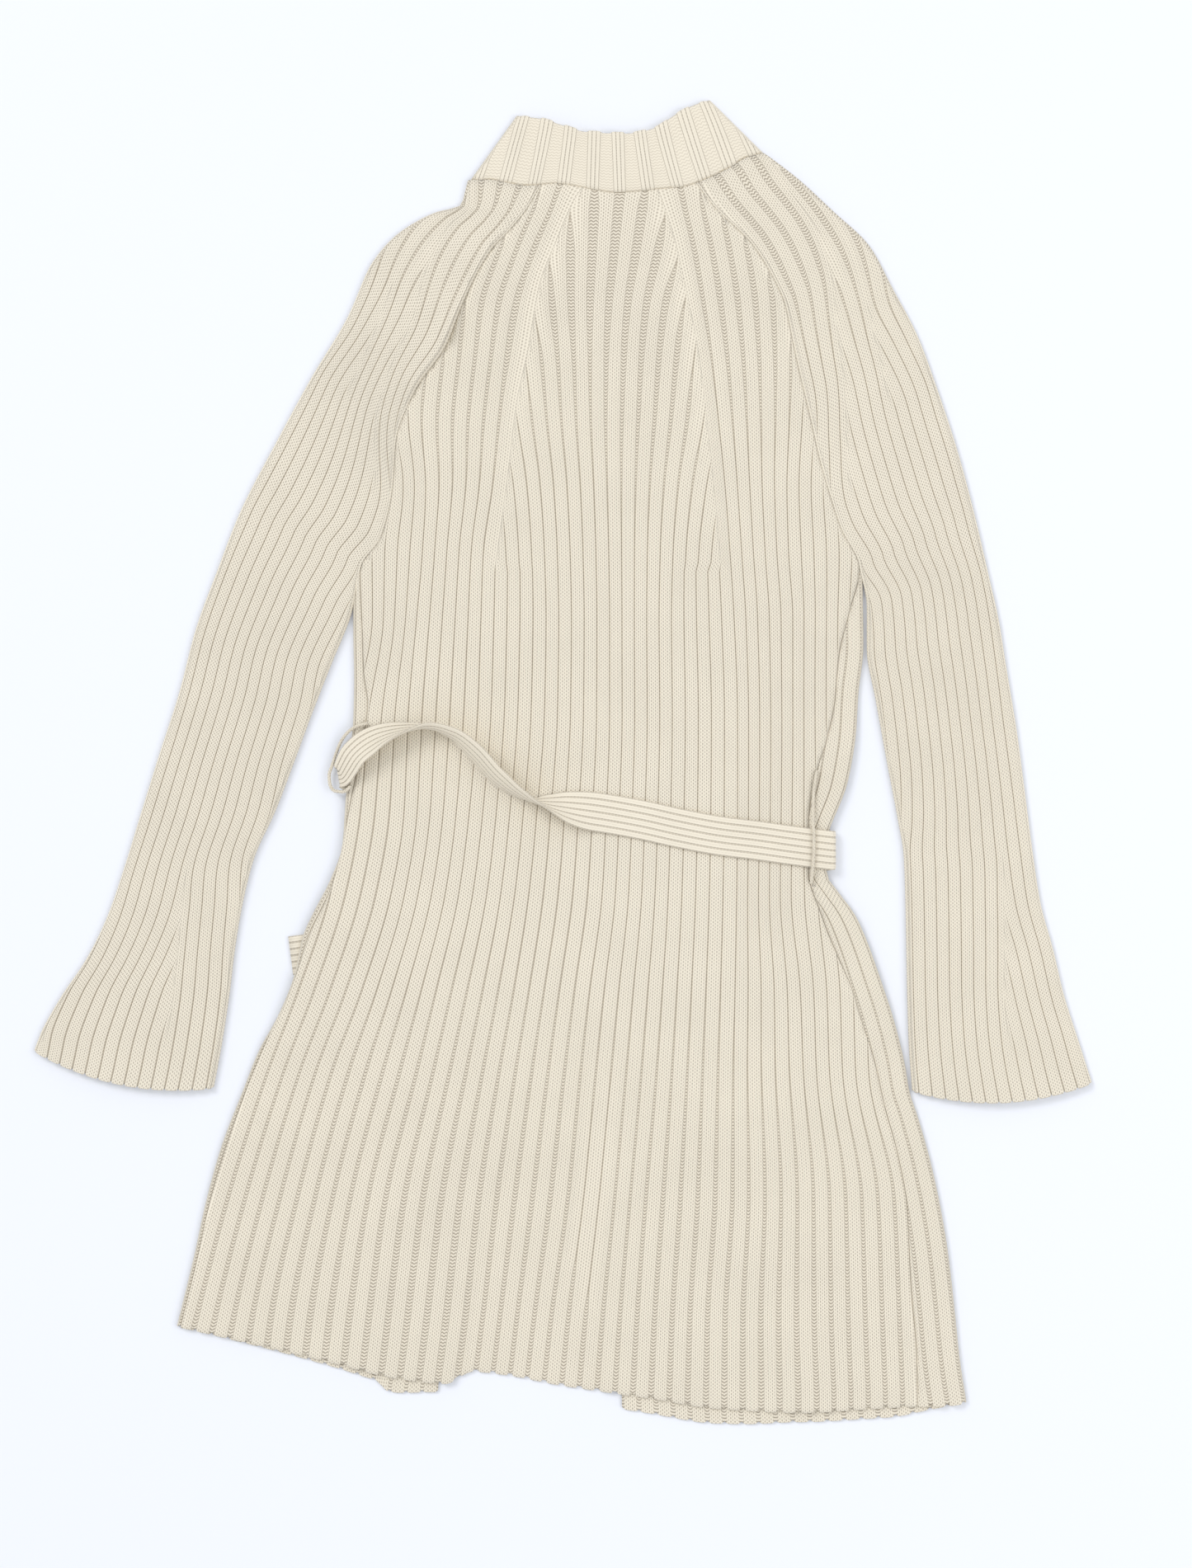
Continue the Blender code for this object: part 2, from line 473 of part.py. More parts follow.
def make_sleeve(name, side, material, collection):
    """A sleeve as one sheet, folded along its outer edge, its two long edges meeting under the arm."""
    ridge_table, growth = (SLEEVE_LEFT_RIDGES, GROWTH_LEFT) if side < 0 else ((), GROWTH_RIGHT)
    arc_steps, under_steps, underarm_angles = 3, 4, [math.radians(angle) for angle in (88, 58, 28)]
    puffed_by, cuff_rows = 6, 4  # rows from the collar, and rows up from the cuff
    fullness = 0.8  # the power that makes a puff or bulge rise quickly from its sides
    inner_radius = LAYER_GAP / 2
    rows = sleeve_rows(side)
    outer, inner = [], []
    for number, ((seam_x, seam_y), (fold_x, fold_y), first, last, grown, closed) in enumerate(rows):
        width = math.hypot(fold_x - seam_x, fold_y - seam_y)
        right, down = (fold_x - seam_x) / width, (fold_y - seam_y) / width
        bulge = CUFF_BULGE * ease((number - len(rows) + cuff_rows) / (cuff_rows - 1))
        puff = SLEEVE_PUFF * ease(number / puffed_by)

        def spot(away, z, under=False):
            bow = bulge * math.sin(math.pi * min(max(away / width, 0), 1)) ** fullness
            x = seam_x + right * away - side * down * bow
            y = seam_y + down * away + side * right * bow
            if number == 0:
                y = float(smooth(COLLAR_SEAM, x)) + (HIDDEN_NECK_GAP if under else 2) * SEAM_PX
            return place(x, y, z)

        def raised(away):
            x, y = seam_x + right * away, seam_y + down * away
            return (puff * math.sin(math.pi * min(max(away / width, 0), 1)) ** fullness
                    + ridges(x, y, ridge_table))

        out_row, in_row = [], []
        for angle in underarm_angles:
            out_away, out_z, in_away, in_z = underarm(angle, closed, upper=True)
            out_row.append(spot(out_away, out_z))
            in_row.append(spot(in_away, in_z))
        for step in range(SLEEVE_RIBS * COLUMNS_PER_RIB + 1):
            at = min(max(among_grown(step / COLUMNS_PER_RIB, growth, grown), first), last)
            across = (at - first) / (last - first) * (width - 2 * FOLD_PX)
            to_edge = min(across, width - 2 * FOLD_PX - across)
            relief = RELIEF * (1 - sleeve_groove(at, growth, grown)) * ease(to_edge / RIB_START)
            z = TOP + raised(FOLD_PX + across)
            out_row.append(spot(FOLD_PX + across, z + relief))
            in_row.append(spot(FOLD_PX + across, z - WALL))
        for angle in fold_arc(arc_steps):
            out, up = math.sin(angle), math.cos(angle)
            out_row.append(spot(width - FOLD_PX + FOLD_PX * out, FOLD_RADIUS * (1 + up)))
            in_away = width - FOLD_PX + inner_radius / PIXEL * out
            in_row.append(spot(in_away, FOLD_RADIUS + inner_radius * up))
        for step in range(under_steps + 1):
            away = width - FOLD_PX - (width - 2 * FOLD_PX) * step / under_steps
            out_row.append(spot(away, 0, under=True))
            in_row.append(spot(away, WALL, under=True))
        for angle in reversed(underarm_angles):
            out_away, out_z, in_away, in_z = underarm(angle, closed, upper=False)
            out_row.append(spot(out_away, out_z, under=True))
            in_row.append(spot(in_away, in_z, under=True))
        outer.append(out_row[::side])
        inner.append(in_row[::side])
    return wall_between(name, outer, inner, material, collection)


def make_collar(material, collection):
    """The stand collar: its back lies on top, and it folds at both ends to two short fronts underneath."""
    rows, arc_steps, flap_steps = 5, 3, 4
    flap = 0.42  # how far each end reaches back under, of the collar's width
    inset = 2  # pixels from the ends of the collar seam to the collar's folds
    fullness = 0.6
    inner_radius = LAYER_GAP / 2
    ribs = len(COLLAR_GROOVES) - 1
    seam_left, seam_right = COLLAR_SEAM[0][0] + inset, COLLAR_SEAM[-1][0] - inset
    edge_left, edge_right = COLLAR_EDGE[0][0], COLLAR_EDGE[-1][0]
    outer, inner = [], []
    for row in range(rows):
        up = 1 - row / (rows - 1)
        width = (seam_right - seam_left) + (edge_right - edge_left - seam_right + seam_left) * up
        fold, fold_in = FOLD_PX / width, inner_radius / PIXEL / width

        def spot(across, z):
            """across runs from 0 at the left fold to 1 at the right one."""
            seam_x = seam_left + (seam_right - seam_left) * across
            edge_x = edge_left + (edge_right - edge_left) * across
            seam_y = float(smooth(COLLAR_SEAM, seam_x)) - SEAM_PX
            edge_y = float(smooth(COLLAR_EDGE, edge_x))
            return place(seam_x + (edge_x - seam_x) * up, seam_y + (edge_y - seam_y) * up, z)

        # Across the left half's flap and fold: the outer point's place and height, then the inner point's.
        reach = [fold + flap * (1 - step / flap_steps) for step in range(flap_steps + 1)]
        left = [(across, 0, across, WALL) for across in reach]
        for angle in reversed(fold_arc(arc_steps)):
            out, high = math.sin(angle), math.cos(angle)
            left.append((fold * (1 - out), FOLD_RADIUS * (1 + high),
                         fold - fold_in * out, FOLD_RADIUS + inner_radius * high))
        right = [(1 - out, out_z, 1 - into, in_z) for out, out_z, into, in_z in reversed(left)]
        top = []
        for step in range(ribs * COLUMNS_PER_RIB + 1):
            seam_x, edge_x = (
                np.interp(step / COLUMNS_PER_RIB, range(ribs + 1), line) for line in zip(*COLLAR_GROOVES)
            )
            left_x = seam_left + (edge_left - seam_left) * up
            across = ((seam_x + (edge_x - seam_x) * up - left_x) / width - fold) / (1 - 2 * fold)
            across = float(np.clip(across, 0, 1))
            z = TOP + COLLAR_PUFF * math.sin(math.pi * across) ** fullness * up
            relief = rib_height(step) * ease(min(across, 1 - across) * width / RIB_START)
            across = fold + (1 - 2 * fold) * across
            top.append((across, z + relief, across, z - WALL))
        columns = left + top + right
        outer.append([spot(across, z) for across, z, _, _ in columns])
        inner.append([spot(across, z) for _, _, across, z in columns])
    return wall_between("collar", outer, inner, material, collection)


def on_cloth(x, y):
    """The height of the rib crests over pixel x, y."""
    return TOP + RELIEF + lift(y) + ridges(x, y, BACK_RIDGES)


def belt_side(across, roll):
    """The direction across the belt: level at no roll, upright at 90 degrees."""
    return np.array([math.cos(across) * math.cos(roll), math.sin(across) * math.cos(roll), math.sin(roll)])


def belt_section(side, face, curl, width):
    """The belt's middle surface across it, as offsets from its middle, and the direction each point faces."""
    steps = 6
    curl = max(curl, FLAT_CURL)
    angles = curl * (np.arange(steps + 1)[:, None] / steps - 0.5)
    radius = width / curl
    points = side * radius * np.sin(angles) - face * radius * (1 - np.cos(angles))
    return points, face * np.cos(angles) + side * np.sin(angles)


def belt_stations():
    """The belt's table with heights above the floor, angles in radians and its two turns rounded."""
    turn_steps = 6
    found = []
    for lies, x, y, extra, across, roll, curl, share in BELT:
        across, roll, curl = math.radians(across), math.radians(roll), math.radians(curl)
        side = belt_side(across, roll)
        ahead = np.array([math.sin(across), -math.cos(across), 0])
        offsets, _ = belt_section(side, np.cross(ahead, side), curl, BELT_WIDTH * share)
        low = BELT_WALL / 2 + BELT_OFF_FLOOR
        high = on_cloth(x, y) + BELT_CLEARANCE + extra * MM + low + BELT_TILT_ROOM - offsets[:, 2].min()
        if lies == "round":
            out = 1 if x > MIDDLE_X else -1
            radius = (high - low) / 2
            for step in range(1, turn_steps):
                angle = math.pi * (step / turn_steps if out > 0 else 1 - step / turn_steps)
                turned_x = x + out * radius / PIXEL * (math.sin(angle) - 1)
                height = low + radius * (1 + math.cos(angle))
                found.append((turned_x, y, height, across, roll, curl, share))
        else:
            found.append((x, y, low if lies == "under" else high, across, roll, curl, share))
    return np.array(found)


def make_belt(material, collection):
    """The tie belt as one ribbon, which turns under both edges of the body and twists over once between."""
    stations = belt_stations()
    ladder = np.arange(len(stations))
    places = np.linspace(0, ladder[-1], 2 * len(ladder) - 1)
    rows = np.column_stack([smooth(np.column_stack([ladder, column]), places) for column in stations.T])
    middles = np.array([place(x, y, z) for x, y, z in rows[:, :3]])
    aheads = np.gradient(middles, axis=0)
    outer, inner = [], []
    for middle, ahead, (across, roll, curl, share) in zip(middles, aheads, rows[:, 3:]):
        ahead = ahead / np.linalg.norm(ahead)
        side = belt_side(across, roll)
        side = side - ahead * side.dot(ahead)
        side = side / np.linalg.norm(side)
        offsets, faces = belt_section(side, np.cross(ahead, side), curl, BELT_WIDTH * share)
        outer.append([tuple(point) for point in middle + offsets + faces * BELT_WALL / 2])
        inner.append([tuple(point) for point in middle + offsets - faces * BELT_WALL / 2])
    return wall_between("belt", outer, inner, material, collection)


def make_loop(name, route, material, collection):
    """A thin crocheted loop: a round strand along its route."""
    table = np.array(route, float)
    ladder = np.arange(len(table))
    places = np.linspace(0, ladder[-1], 2 * len(ladder) - 1)
    xs, ys, heights = (smooth(np.column_stack([ladder, column]), places) for column in table.T)
    curve = bpy.data.curves.new(name, "CURVE")
    curve.dimensions = "3D"
    curve.bevel_depth = LOOP_RADIUS
    curve.bevel_resolution = 2
    curve.use_fill_caps = True
    strand = curve.splines.new("POLY")
    strand.points.add(len(xs) - 1)
    for point, x, y, height in zip(strand.points, xs, ys, heights):
        point.co = (*place(x, y, height * MM), 1)
    curve.materials.append(material)
    loop = bpy.data.objects.new(name, curve)
    collection.objects.link(loop)
    return loop


def main():
    for thing in list(bpy.data.objects):
        bpy.data.objects.remove(thing)
    collection = bpy.data.collections.new("wrap_cardigan")
    bpy.context.scene.collection.children.link(collection)
    cream = new_material("cream rib knit", (0.79, 0.74, 0.62), 0.9)
    make_back(cream, collection)
    make_front("left_front", -1, cream, collection)
    make_front("right_front", 1, cream, collection)
    make_sleeve("left_sleeve", -1, cream, collection)
    make_sleeve("right_sleeve", 1, cream, collection)
    make_collar(cream, collection)
    make_belt(new_material("cream belt knit", (0.77, 0.72, 0.60), 0.9), collection)
    strand = new_material("cream crochet strand", (0.74, 0.68, 0.55), 0.9)
    make_loop("belt_loop_left", LOOP_LEFT, strand, collection)
    make_loop("belt_loop_right", LOOP_RIGHT, strand, collection)


main()
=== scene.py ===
"""The looks of a wrap cardigan in cream rib knit, lying flat with its back upward on a pale table.

Metres, +Z up. Places on the cloth are pixels of the photograph, x to the right and y down, as in the part's source.
"""

import math

import bmesh
import bpy
import numpy as np
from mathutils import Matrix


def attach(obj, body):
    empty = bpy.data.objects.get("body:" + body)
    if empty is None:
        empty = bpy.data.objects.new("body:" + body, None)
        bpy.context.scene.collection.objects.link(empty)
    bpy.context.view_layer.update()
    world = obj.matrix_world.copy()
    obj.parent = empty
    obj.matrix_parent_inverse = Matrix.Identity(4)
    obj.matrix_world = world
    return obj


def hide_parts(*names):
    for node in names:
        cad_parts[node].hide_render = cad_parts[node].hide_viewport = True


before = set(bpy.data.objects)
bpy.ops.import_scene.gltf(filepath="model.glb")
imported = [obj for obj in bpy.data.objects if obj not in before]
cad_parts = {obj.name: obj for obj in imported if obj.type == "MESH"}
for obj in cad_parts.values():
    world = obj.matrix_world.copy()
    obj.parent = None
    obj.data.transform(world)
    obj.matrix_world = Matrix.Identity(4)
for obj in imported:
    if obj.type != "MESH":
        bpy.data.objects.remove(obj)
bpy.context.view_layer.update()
scene = bpy.context.scene

MM = 0.001
PIXEL = 0.70 * MM
MIDDLE_X, MIDDLE_Y = 682.5, 923.7

# The cloth, as real sizes
WALL = 1.8 * MM
RELIEF = 1.3 * MM
UNDER_RELIEF = 0.6 * MM
LAYER_GAP = 0.6 * MM
SEAM_GAP = 0.32 * MM
FOLD_RADIUS = (2 * WALL + LAYER_GAP) / 2
TOP = 2 * FOLD_RADIUS
COURSE = 2.8 * MM  # one stitch up the cloth
WALES = 3  # stitches across the knit part of a rib
KNIT_PX = 15.0  # the knit part of a rib, in pixels: what is left of the rib is its gutter
KNIT_AT_LEVEL = ((226, 17.5), (300, 14.5), (375, 13.8), (450, 14.6), (520, 15), (700, 15), (1000, 16.2),
                 (1150, 16.6), (1300, 15.8), (1400, 15.3), (1690, 15))
GUTTER_LEAST, GUTTER_MOST = 0.04, 0.42  # a gutter's share of its rib
SEAM_SHOWN = 0.07  # pixels from a seam's middle to the edges of the cloth that it joins
# Pixels: how far the knit of a rib reaches past its gutters at the hem, and from how far above the hem
HEM_SCALLOP, HEM_EASE = 3.0, 22
SCALLOP_MIDDLE = 0.6  # the height on a rib where the hem keeps its line
NECK_EASE = 30  # pixels under the collar in which rows come into line with its seam
PUFF_POWER = 0.8  # how square the bow across a sleeve is
FAR = 99  # pixels: away from any edge
BELT_WIDTH = 33 * MM
BELT_WALL = 2.0 * MM
BELT_CLEARANCE = 0.5 * MM
BELT_OFF_FLOOR = 0.05 * MM
BELT_TILT_ROOM = 0.35 * MM
BELT_RELIEF = 0.5 * MM
BELT_GUTTER = 0.09
BELT_RIBS = 6
FLAT_CURL = 0.001  # radians: as near to flat as the belt's curl gets
TAIL_LIFT = 2.4 * MM
SLEEVE_PUFF = 2.5 * MM
COLLAR_PUFF = 2.0 * MM
LOOP_RADIUS = 1.5 * MM
STEP_DOWN = WALL + LAYER_GAP

SEAM_PX = SEAM_GAP / PIXEL
FOLD_PX = FOLD_RADIUS / PIXEL

RIBS_BACK = 41
DART_RIBS = (11, 29)
# The yarn's colour, and the darker colour painted in as shade in the stitches' holes and the gutters; how much
# painted shade the holes take.
YARN, SHADED_YARN = (0.86, 0.79, 0.655), (0.33, 0.275, 0.205)
HOLE_SHADE = 0.6

NECK_LEVEL, ARMPIT_LEVEL, HEM_LEVEL, HEM_BEND_FROM = 230, 690, 1690, 1080
HIDDEN_NECK_GAP = 12  # seam widths between the collar and the hidden cloth under it
CUFF_BULGE = 19  # pixels
PHOTO_WIDTH, PHOTO_HEIGHT = 1445, 1901
LENS, SENSOR = 80, 36  # millimetres

# x, y of the seam under the collar, and of the collar's upper edge
COLLAR_SEAM = ((568, 218), (591, 218), (639, 225), (674, 222), (711, 228), (744, 233), (770, 232), (797, 229),
               (829, 226), (856, 217), (883, 204), (907, 190), (928, 185))
COLLAR_EDGE = ((626, 140), (655, 143), (682, 151), (711, 159), (760, 161), (792, 155), (819, 138), (843, 126),
               (861, 121))
# seam x and upper edge x of each groove of the collar
COLLAR_GROOVES = ((560, 590), (595, 619.5), (630, 649), (665, 678), (701, 706), (735, 735), (768, 762.5),
                  (804, 788), (838.5, 814), (870.5, 841), (900.5, 869), (930, 896))
# y, x: the back's edges, the two fashioning lines, the folded edges of the body and the hidden front edges
BACK_LEFT = ((226, 659), (256, 637), (279, 618), (298, 599), (330, 579), (370, 560), (420, 540), (472, 504),
             (535, 480), (591, 476), (651, 462), (690, 437), (756, 439), (816, 441), (854, 446), (915, 436),
             (985, 423), (1045, 411), (1080, 400), (1135, 374), (1190, 356), (1290, 311), (1393, 273),
             (1458, 254), (1522, 240), (1608, 219))
BACK_RIGHT = ((226, 841), (242, 853), (257, 871), (276, 892), (294, 910), (317, 926), (344, 941), (367, 951),
              (410, 960), (460, 971), (510, 983), (555, 993), (600, 1006), (640, 1019), (690, 1042),
              (740, 1030), (800, 1016), (850, 1012), (900, 1001), (935, 990), (1000, 980), (1058, 980),
              (1111, 996), (1161, 1016), (1197, 1032), (1233, 1043), (1290, 1061), (1340, 1072), (1399, 1088),
              (1461, 1099), (1557, 1104), (1646, 1111), (1704, 1112))
DART_LEFT = ((226, 709), (253, 691), (298, 672), (342, 655), (425, 640), (490, 626), (555, 618), (617, 610),
             (690, 600))
DART_RIGHT = ((226, 796), (279, 815), (320, 825), (369, 836), (433, 848), (507, 857), (590, 866), (690, 875))
# y, then x of every fifth groove. The middle ones are carried on past the lines above that they start from.
GROOVE_NUMBERS = (0, 5, 10, 15, 20, 25, 30, 35, 41)
GROOVES = ((226, 450, 568, 681, 598, 752, 906, 824, 933, 1062),
           (310, 434, 541, 644, 613, 744, 875, 843, 950, 1076),
           (370, 420, 521, 625, 624, 738, 852, 853, 958, 1079),
           (430, 418, 518, 615, 636, 735, 842, 862, 959, 1070),
           (510, 431, 511, 605, 645, 734, 833, 871, 957, 1050),
           (590, 448, 516, 597, 655, 736, 822, 879, 954, 1042),
           (670, 436, 512, 586, 660, 738, 816, 885, 956, 1048),
           (750, 438, 505, 583, 662, 739, 814, 890, 961, 1043),
           (865, 415, 495, 579, 660, 739, 815, 894, 961, 1042),
           (985, 402, 490, 569, 651, 735, 813, 894, 960, 1047),
           (1085, 382, 474, 556, 641, 730, 810, 893, 959, 1055),
           (1200, 343, 439, 529, 623, 715, 803, 891, 970, 1066),
           (1300, 305, 402, 505, 605, 704, 796, 889, 974, 1069),
           (1450, 256, 361, 468, 581, 689, 783, 888, 986, 1103),
           (1600, 215, 328, 447, 564, 668, 772, 879, 987, 1111),
           (1690, 190, 318, 436, 552, 658, 767, 878, 990, 1115))
# groove, from y, to y: gutters that the drape has closed to a line
CLOSED_GROOVES = ((21, 1330, 1560), (22, 1290, 1600), (34, 860, 1010), (35, 1060, 1260))
BODY_LEFT = ((690, 428), (764, 428), (822, 429), (872, 428), (915, 424), (966, 419), (1024, 415), (1065, 401),
             (1104, 381), (1135, 367), (1181, 357), (1227, 339), (1275, 313), (1320, 295), (1393, 267),
             (1458, 249), (1522, 235), (1608, 214))
BODY_RIGHT = ((690, 1045), (707, 1046), (784, 1047), (841, 1041), (889, 1038), (923, 1033), (955, 1026),
              (983, 1015), (1002, 1007), (1018, 1002.5), (1040, 1001.5), (1060, 1002.5), (1081, 1016), (1108, 1036),
              (1138, 1050), (1197, 1071), (1227, 1081), (1263, 1091), (1294, 1098), (1322, 1102.5), (1354, 1113),
              (1407, 1128), (1461, 1140), (1514, 1149), (1581, 1157), (1648, 1164), (1700, 1172))
FRONT_EDGE_LEFT = ((226, 690), (1000, 690), (1150, 668), (1300, 625), (1500, 565), (1682, 531))
FRONT_EDGE_RIGHT = ((226, 693), (1000, 693), (1150, 715), (1300, 735), (1476, 746), (1569, 749), (1700, 754))
# x, y of the back's hem, and how much further down the fronts reach
BACK_HEM = ((214, 1608), (303, 1628), (404, 1652), (489, 1672), (540, 1677), (573, 1663), (613, 1667),
            (682, 1680), (789, 1695), (866, 1707), (968, 1712), (1050, 1708), (1112, 1704), (1175, 1700))
FRONT_HEM_LONGER = ((214, 0), (360, 3), (440, 7), (456, 8), (470, 18), (531, 11), (620, 14), (755, 18),
                    (838, 19), (899, 17), (968, 12), (1078, 12), (1127, 6), (1175, 0))
# x, y of each sleeve's folded edge at levels above the armpit, then at rows below it: seam x and y, folded edge
# x and y, rib number at the seam and at the folded edge, and ribs grown at the cuff's line
SLEEVE_LEFT_TOP = ((567, 220), (557, 249), (530, 256), (487, 279), (452, 316), (420, 386), (378, 456), (336, 533),
                   (290, 622))
SLEEVE_RIGHT_TOP = ((927, 186), (964, 213), (1012, 257), (1053, 296), (1084, 352), (1112, 405), (1138, 475),
                    (1163, 552), (1184, 632))
SLEEVE_TOP_LEVELS = (230, 262, 300, 345, 400, 470, 545, 620, 690)
# At the same levels: the rib number at the seam and at the folded edge, and the ribs grown at the first two lines
SLEEVE_TOP_RIBS = ((0, 3.6, 0, 0), (0.2, 4.1, 0, 0), (0.4, 4.7, 0.1, 0), (0.5, 5.9, 0.5, 0),
                   (0.4, 7.7, 1.3, 0), (0.3, 9.9, 2.1, 1), (1.15, 11.65, 3.05, 2), (2.2, 12.7, 4, 2),
                   (1.9, 12.7, 4, 2))
SLEEVE_LEFT = ((426, 743, 262, 694, 0.6, 12.6, 0), (402, 804, 237, 762, 0.2, 12.7, 0),
               (380, 860, 216, 842, 0.9, 12.7, 0), (356, 925, 193, 913, 1.2, 12.8, 0),
               (333, 985, 170, 987, 1.8, 12.8, 0), (308, 1040, 150, 1052, 2.25, 12.75, 0),
               (293, 1100, 130, 1110, 3.0, 13.4, 0.5), (284, 1155, 104, 1163, 3.3, 14.6, 1.5),
               (278, 1205, 75, 1206, 3.5, 15.8, 2.55), (268, 1270, 50, 1250, 3.6, 16.6, 3),
               (259, 1318, 41, 1273, 3.65, 16.9, 3))
SLEEVE_RIGHT = ((1051, 735, 1199, 697, 0.8, 12.5, 0), (1051, 787, 1211, 750, 0.55, 12.65, 0),
                (1062, 850, 1221, 812, 0.7, 12.75, 0), (1076, 927, 1233, 885, 1.1, 12.95, 0),
                (1088, 990, 1243, 960, 1.9, 12.9, 0), (1096, 1040, 1252, 1030, 2.7, 12.85, 0),
                (1098, 1100, 1262, 1095, 2.7, 13.4, 0.5), (1099, 1155, 1277, 1150, 2.7, 14.4, 1.5),
                (1100, 1205, 1290, 1205, 2.7, 15.3, 2.4), (1102, 1268, 1308, 1262, 2.7, 15.9, 3),
                (1106, 1322, 1324, 1312, 2.7, 15.95, 3))
# Sleeve ribs are numbered from the seam. Some grow out at lines inside the sleeve, two at the shoulder and
# one at the cuff: the number at each line, and how many ribs grow there
SLEEVE_RIBS = 17
GROWTH_LEFT = ((3.5, 4), (11.5, 2), (7.5, 3))
GROWTH_RIGHT = ((3.5, 4), (8.5, 2), (10.5, 3))

# x0, y0 to x1, y1, half width, height in millimetres: the soft ridges and troughs of each upper layer
SLEEVE_LEFT_CREASES = ((612, 306, 546, 405, 15, 6.5), (546, 405, 500, 470, 16, 3.0), (594, 236, 600, 292, 10, 2.5))
SLEEVE_RIGHT_CREASES = ((1070, 694, 1067, 790, 9, 2.0), (1092, 650, 1098, 760, 12, 1.2))
BACK_CREASES = ((640, 1420, 610, 1690, 34, 2.2), (455, 1480, 440, 1680, 26, 1.8), (930, 1350, 985, 1700, 36, 1.8),
                (720, 520, 735, 900, 50, 1.2), (950, 700, 925, 930, 34, 1.6), (940, 872, 940, 985, 9, 1.5),
                (973, 1070, 986, 1245, 10, 1.6), (448, 985, 447, 1050, 7, 1.4), (566, 1530, 540, 1665, 14, 1.5))

# where it lies, x, y, extra height in mm, direction across in degrees, roll in degrees, curl in degrees, width share
BELT = (("under", 600, 1000, 0, 72, 180, 0, 1), ("under", 520, 978, 0, 74, 180, 0, 1),
        ("under", 455, 956, 0, 80, 180, 0, 0.9), ("round", 411, 940, 0, 100, 180, 0, 0.62),
        ("over", 430, 916, 0.5, 142, 152, 30, 0.8), ("over", 447, 902, 0.5, 128, 148, 35, 0.84),
        ("over", 472, 891, 0.5, 108, 130, 55, 0.78), ("over", 516, 883, 0.5, 88, 88, 80, 0.66),
        ("over", 548, 893, 0.5, 66, 68, 70, 0.75), ("over", 575, 915, 0.5, 50, 56, 50, 0.83),
        ("over", 602, 944, 0.3, 48, 58, 45, 0.85), ("over", 628, 963, 0.3, 60, 70, 50, 0.75),
        ("over", 650, 973, 0.3, 72, 94, 55, 0.7), ("over", 668, 977, 0.2, 80, 128, 50, 0.75),
        ("over", 690, 980, 0.1, 83, 156, 30, 0.9), ("over", 727, 985, 0, 82, 178, 0, 1),
        ("over", 778, 994, 0, 80, 180, 0, 1), ("over", 823, 1004, 0, 80, 180, 0, 1),
        ("over", 871, 1013, 0, 83, 180, 0, 1), ("over", 919, 1019, 0, 85, 180, 0, 1),
        ("over", 954, 1024, 0, 84, 180, 0, 1), ("over", 992, 1029, 0, 86, 180, 0, 1),
        ("round", 1012, 1031, 0, 90, 180, 0, 1), ("under", 985, 1035, 0, 82, 180, 0, 1),
        ("under", 900, 1054, 0, 77, 180, 0, 1), ("under", 780, 1082, 0, 77, 180, 0, 1),
        ("under", 640, 1112, 0, 79, 180, 0, 1), ("under", 480, 1142, 0, 82, 180, 0, 1),
        ("under", 352, 1159, 0, 83, 180, 0, 1))
# first and last pixel row that the belt's hidden ends raise, and how far the slopes above and below reach
LIFTED_ROWS = (915, 1190, 75, 100)

# x, y, height in millimetres: the two crocheted loops
LOOP_RIGHT = ((990, 934, 9.9), (986, 960, 10.0), (985, 985, 11.4), (985, 998, 12.9), (986, 1012, 13.0),
              (986, 1030, 13.0), (985, 1048, 12.9), (984, 1060, 11.8), (983, 1071, 10.2))
LOOP_LEFT = ((446, 877, 8.8), (434, 880, 8.8), (423, 887, 7.4), (414, 898, 5.8), (408, 912, 5.2), (403, 927, 5.0),
             (399, 940, 5.0), (400, 951, 5.2), (406, 959, 6.4), (416, 960, 9.4), (426, 953, 10.2))


def least(*parts):
    """The smallest of several grids at each place."""
    smallest = parts[0]
    for part in parts[1:]:
        smallest = np.minimum(smallest, part)
    return smallest


def smooth(table, at):
    """The smooth curve through a table of two columns, with no overshoot, read at one or more places."""
    xs, ys = np.array(table, float).T
    steps = np.diff(xs)
    slopes = np.diff(ys) / steps
    tangents = np.concatenate([slopes[:1], np.zeros(len(xs) - 2), slopes[-1:]])
    same = slopes[:-1] * slopes[1:] > 0
    tangents[1:-1][same] = 2 * slopes[:-1][same] * slopes[1:][same] / (slopes[:-1][same] + slopes[1:][same])
    at = np.clip(np.asarray(at, float), xs[0], xs[-1])
    i = np.clip(np.searchsorted(xs, at, side="right") - 1, 0, len(xs) - 2)
    t = (at - xs[i]) / steps[i]
    return (
        (1 + 2 * t) * (1 - t) ** 2 * ys[i]
        + t * (1 - t) ** 2 * steps[i] * tangents[i]
        + t * t * (3 - 2 * t) * ys[i + 1]
        - t * t * (1 - t) * steps[i] * tangents[i + 1]
    )


def curves(columns, at):
    """The smooth curve through each column's values at 0, 1, 2 and so on, read at one or more places."""
    return [smooth(np.column_stack([np.arange(len(column)), column]), at) for column in columns]


def travel(points):
    """How far a line has come at each of its points."""
    return np.concatenate([[0], np.cumsum(np.linalg.norm(np.diff(points, axis=0), axis=1))])


def ease(t):
    t = np.clip(t, 0.0, 1.0)
    return t * t * (3 - 2 * t)


def place(x, y, z):
    """Points over pixels x, y at heights z, in metres."""
    x, y, z = np.broadcast_arrays(x, y, z)
    return np.stack([(x - MIDDLE_X) * PIXEL, (MIDDLE_Y - y) * PIXEL, z], axis=-1)


def creases(x, y, table):
    """How high a table's soft ridges and troughs stand at pixels x, y."""
    height = np.zeros(np.broadcast(x, y).shape)
    for x0, y0, x1, y1, half_width, millimetres in table:
        along = ((x - x0) * (x1 - x0) + (y - y0) * (y1 - y0)) / ((x1 - x0) ** 2 + (y1 - y0) ** 2)
        along = np.clip(along, 0, 1)
        away = np.hypot(x - x0 - along * (x1 - x0), y - y0 - along * (y1 - y0))
        height = height + millimetres * MM * np.exp(-((away / half_width) ** 2))
    return height


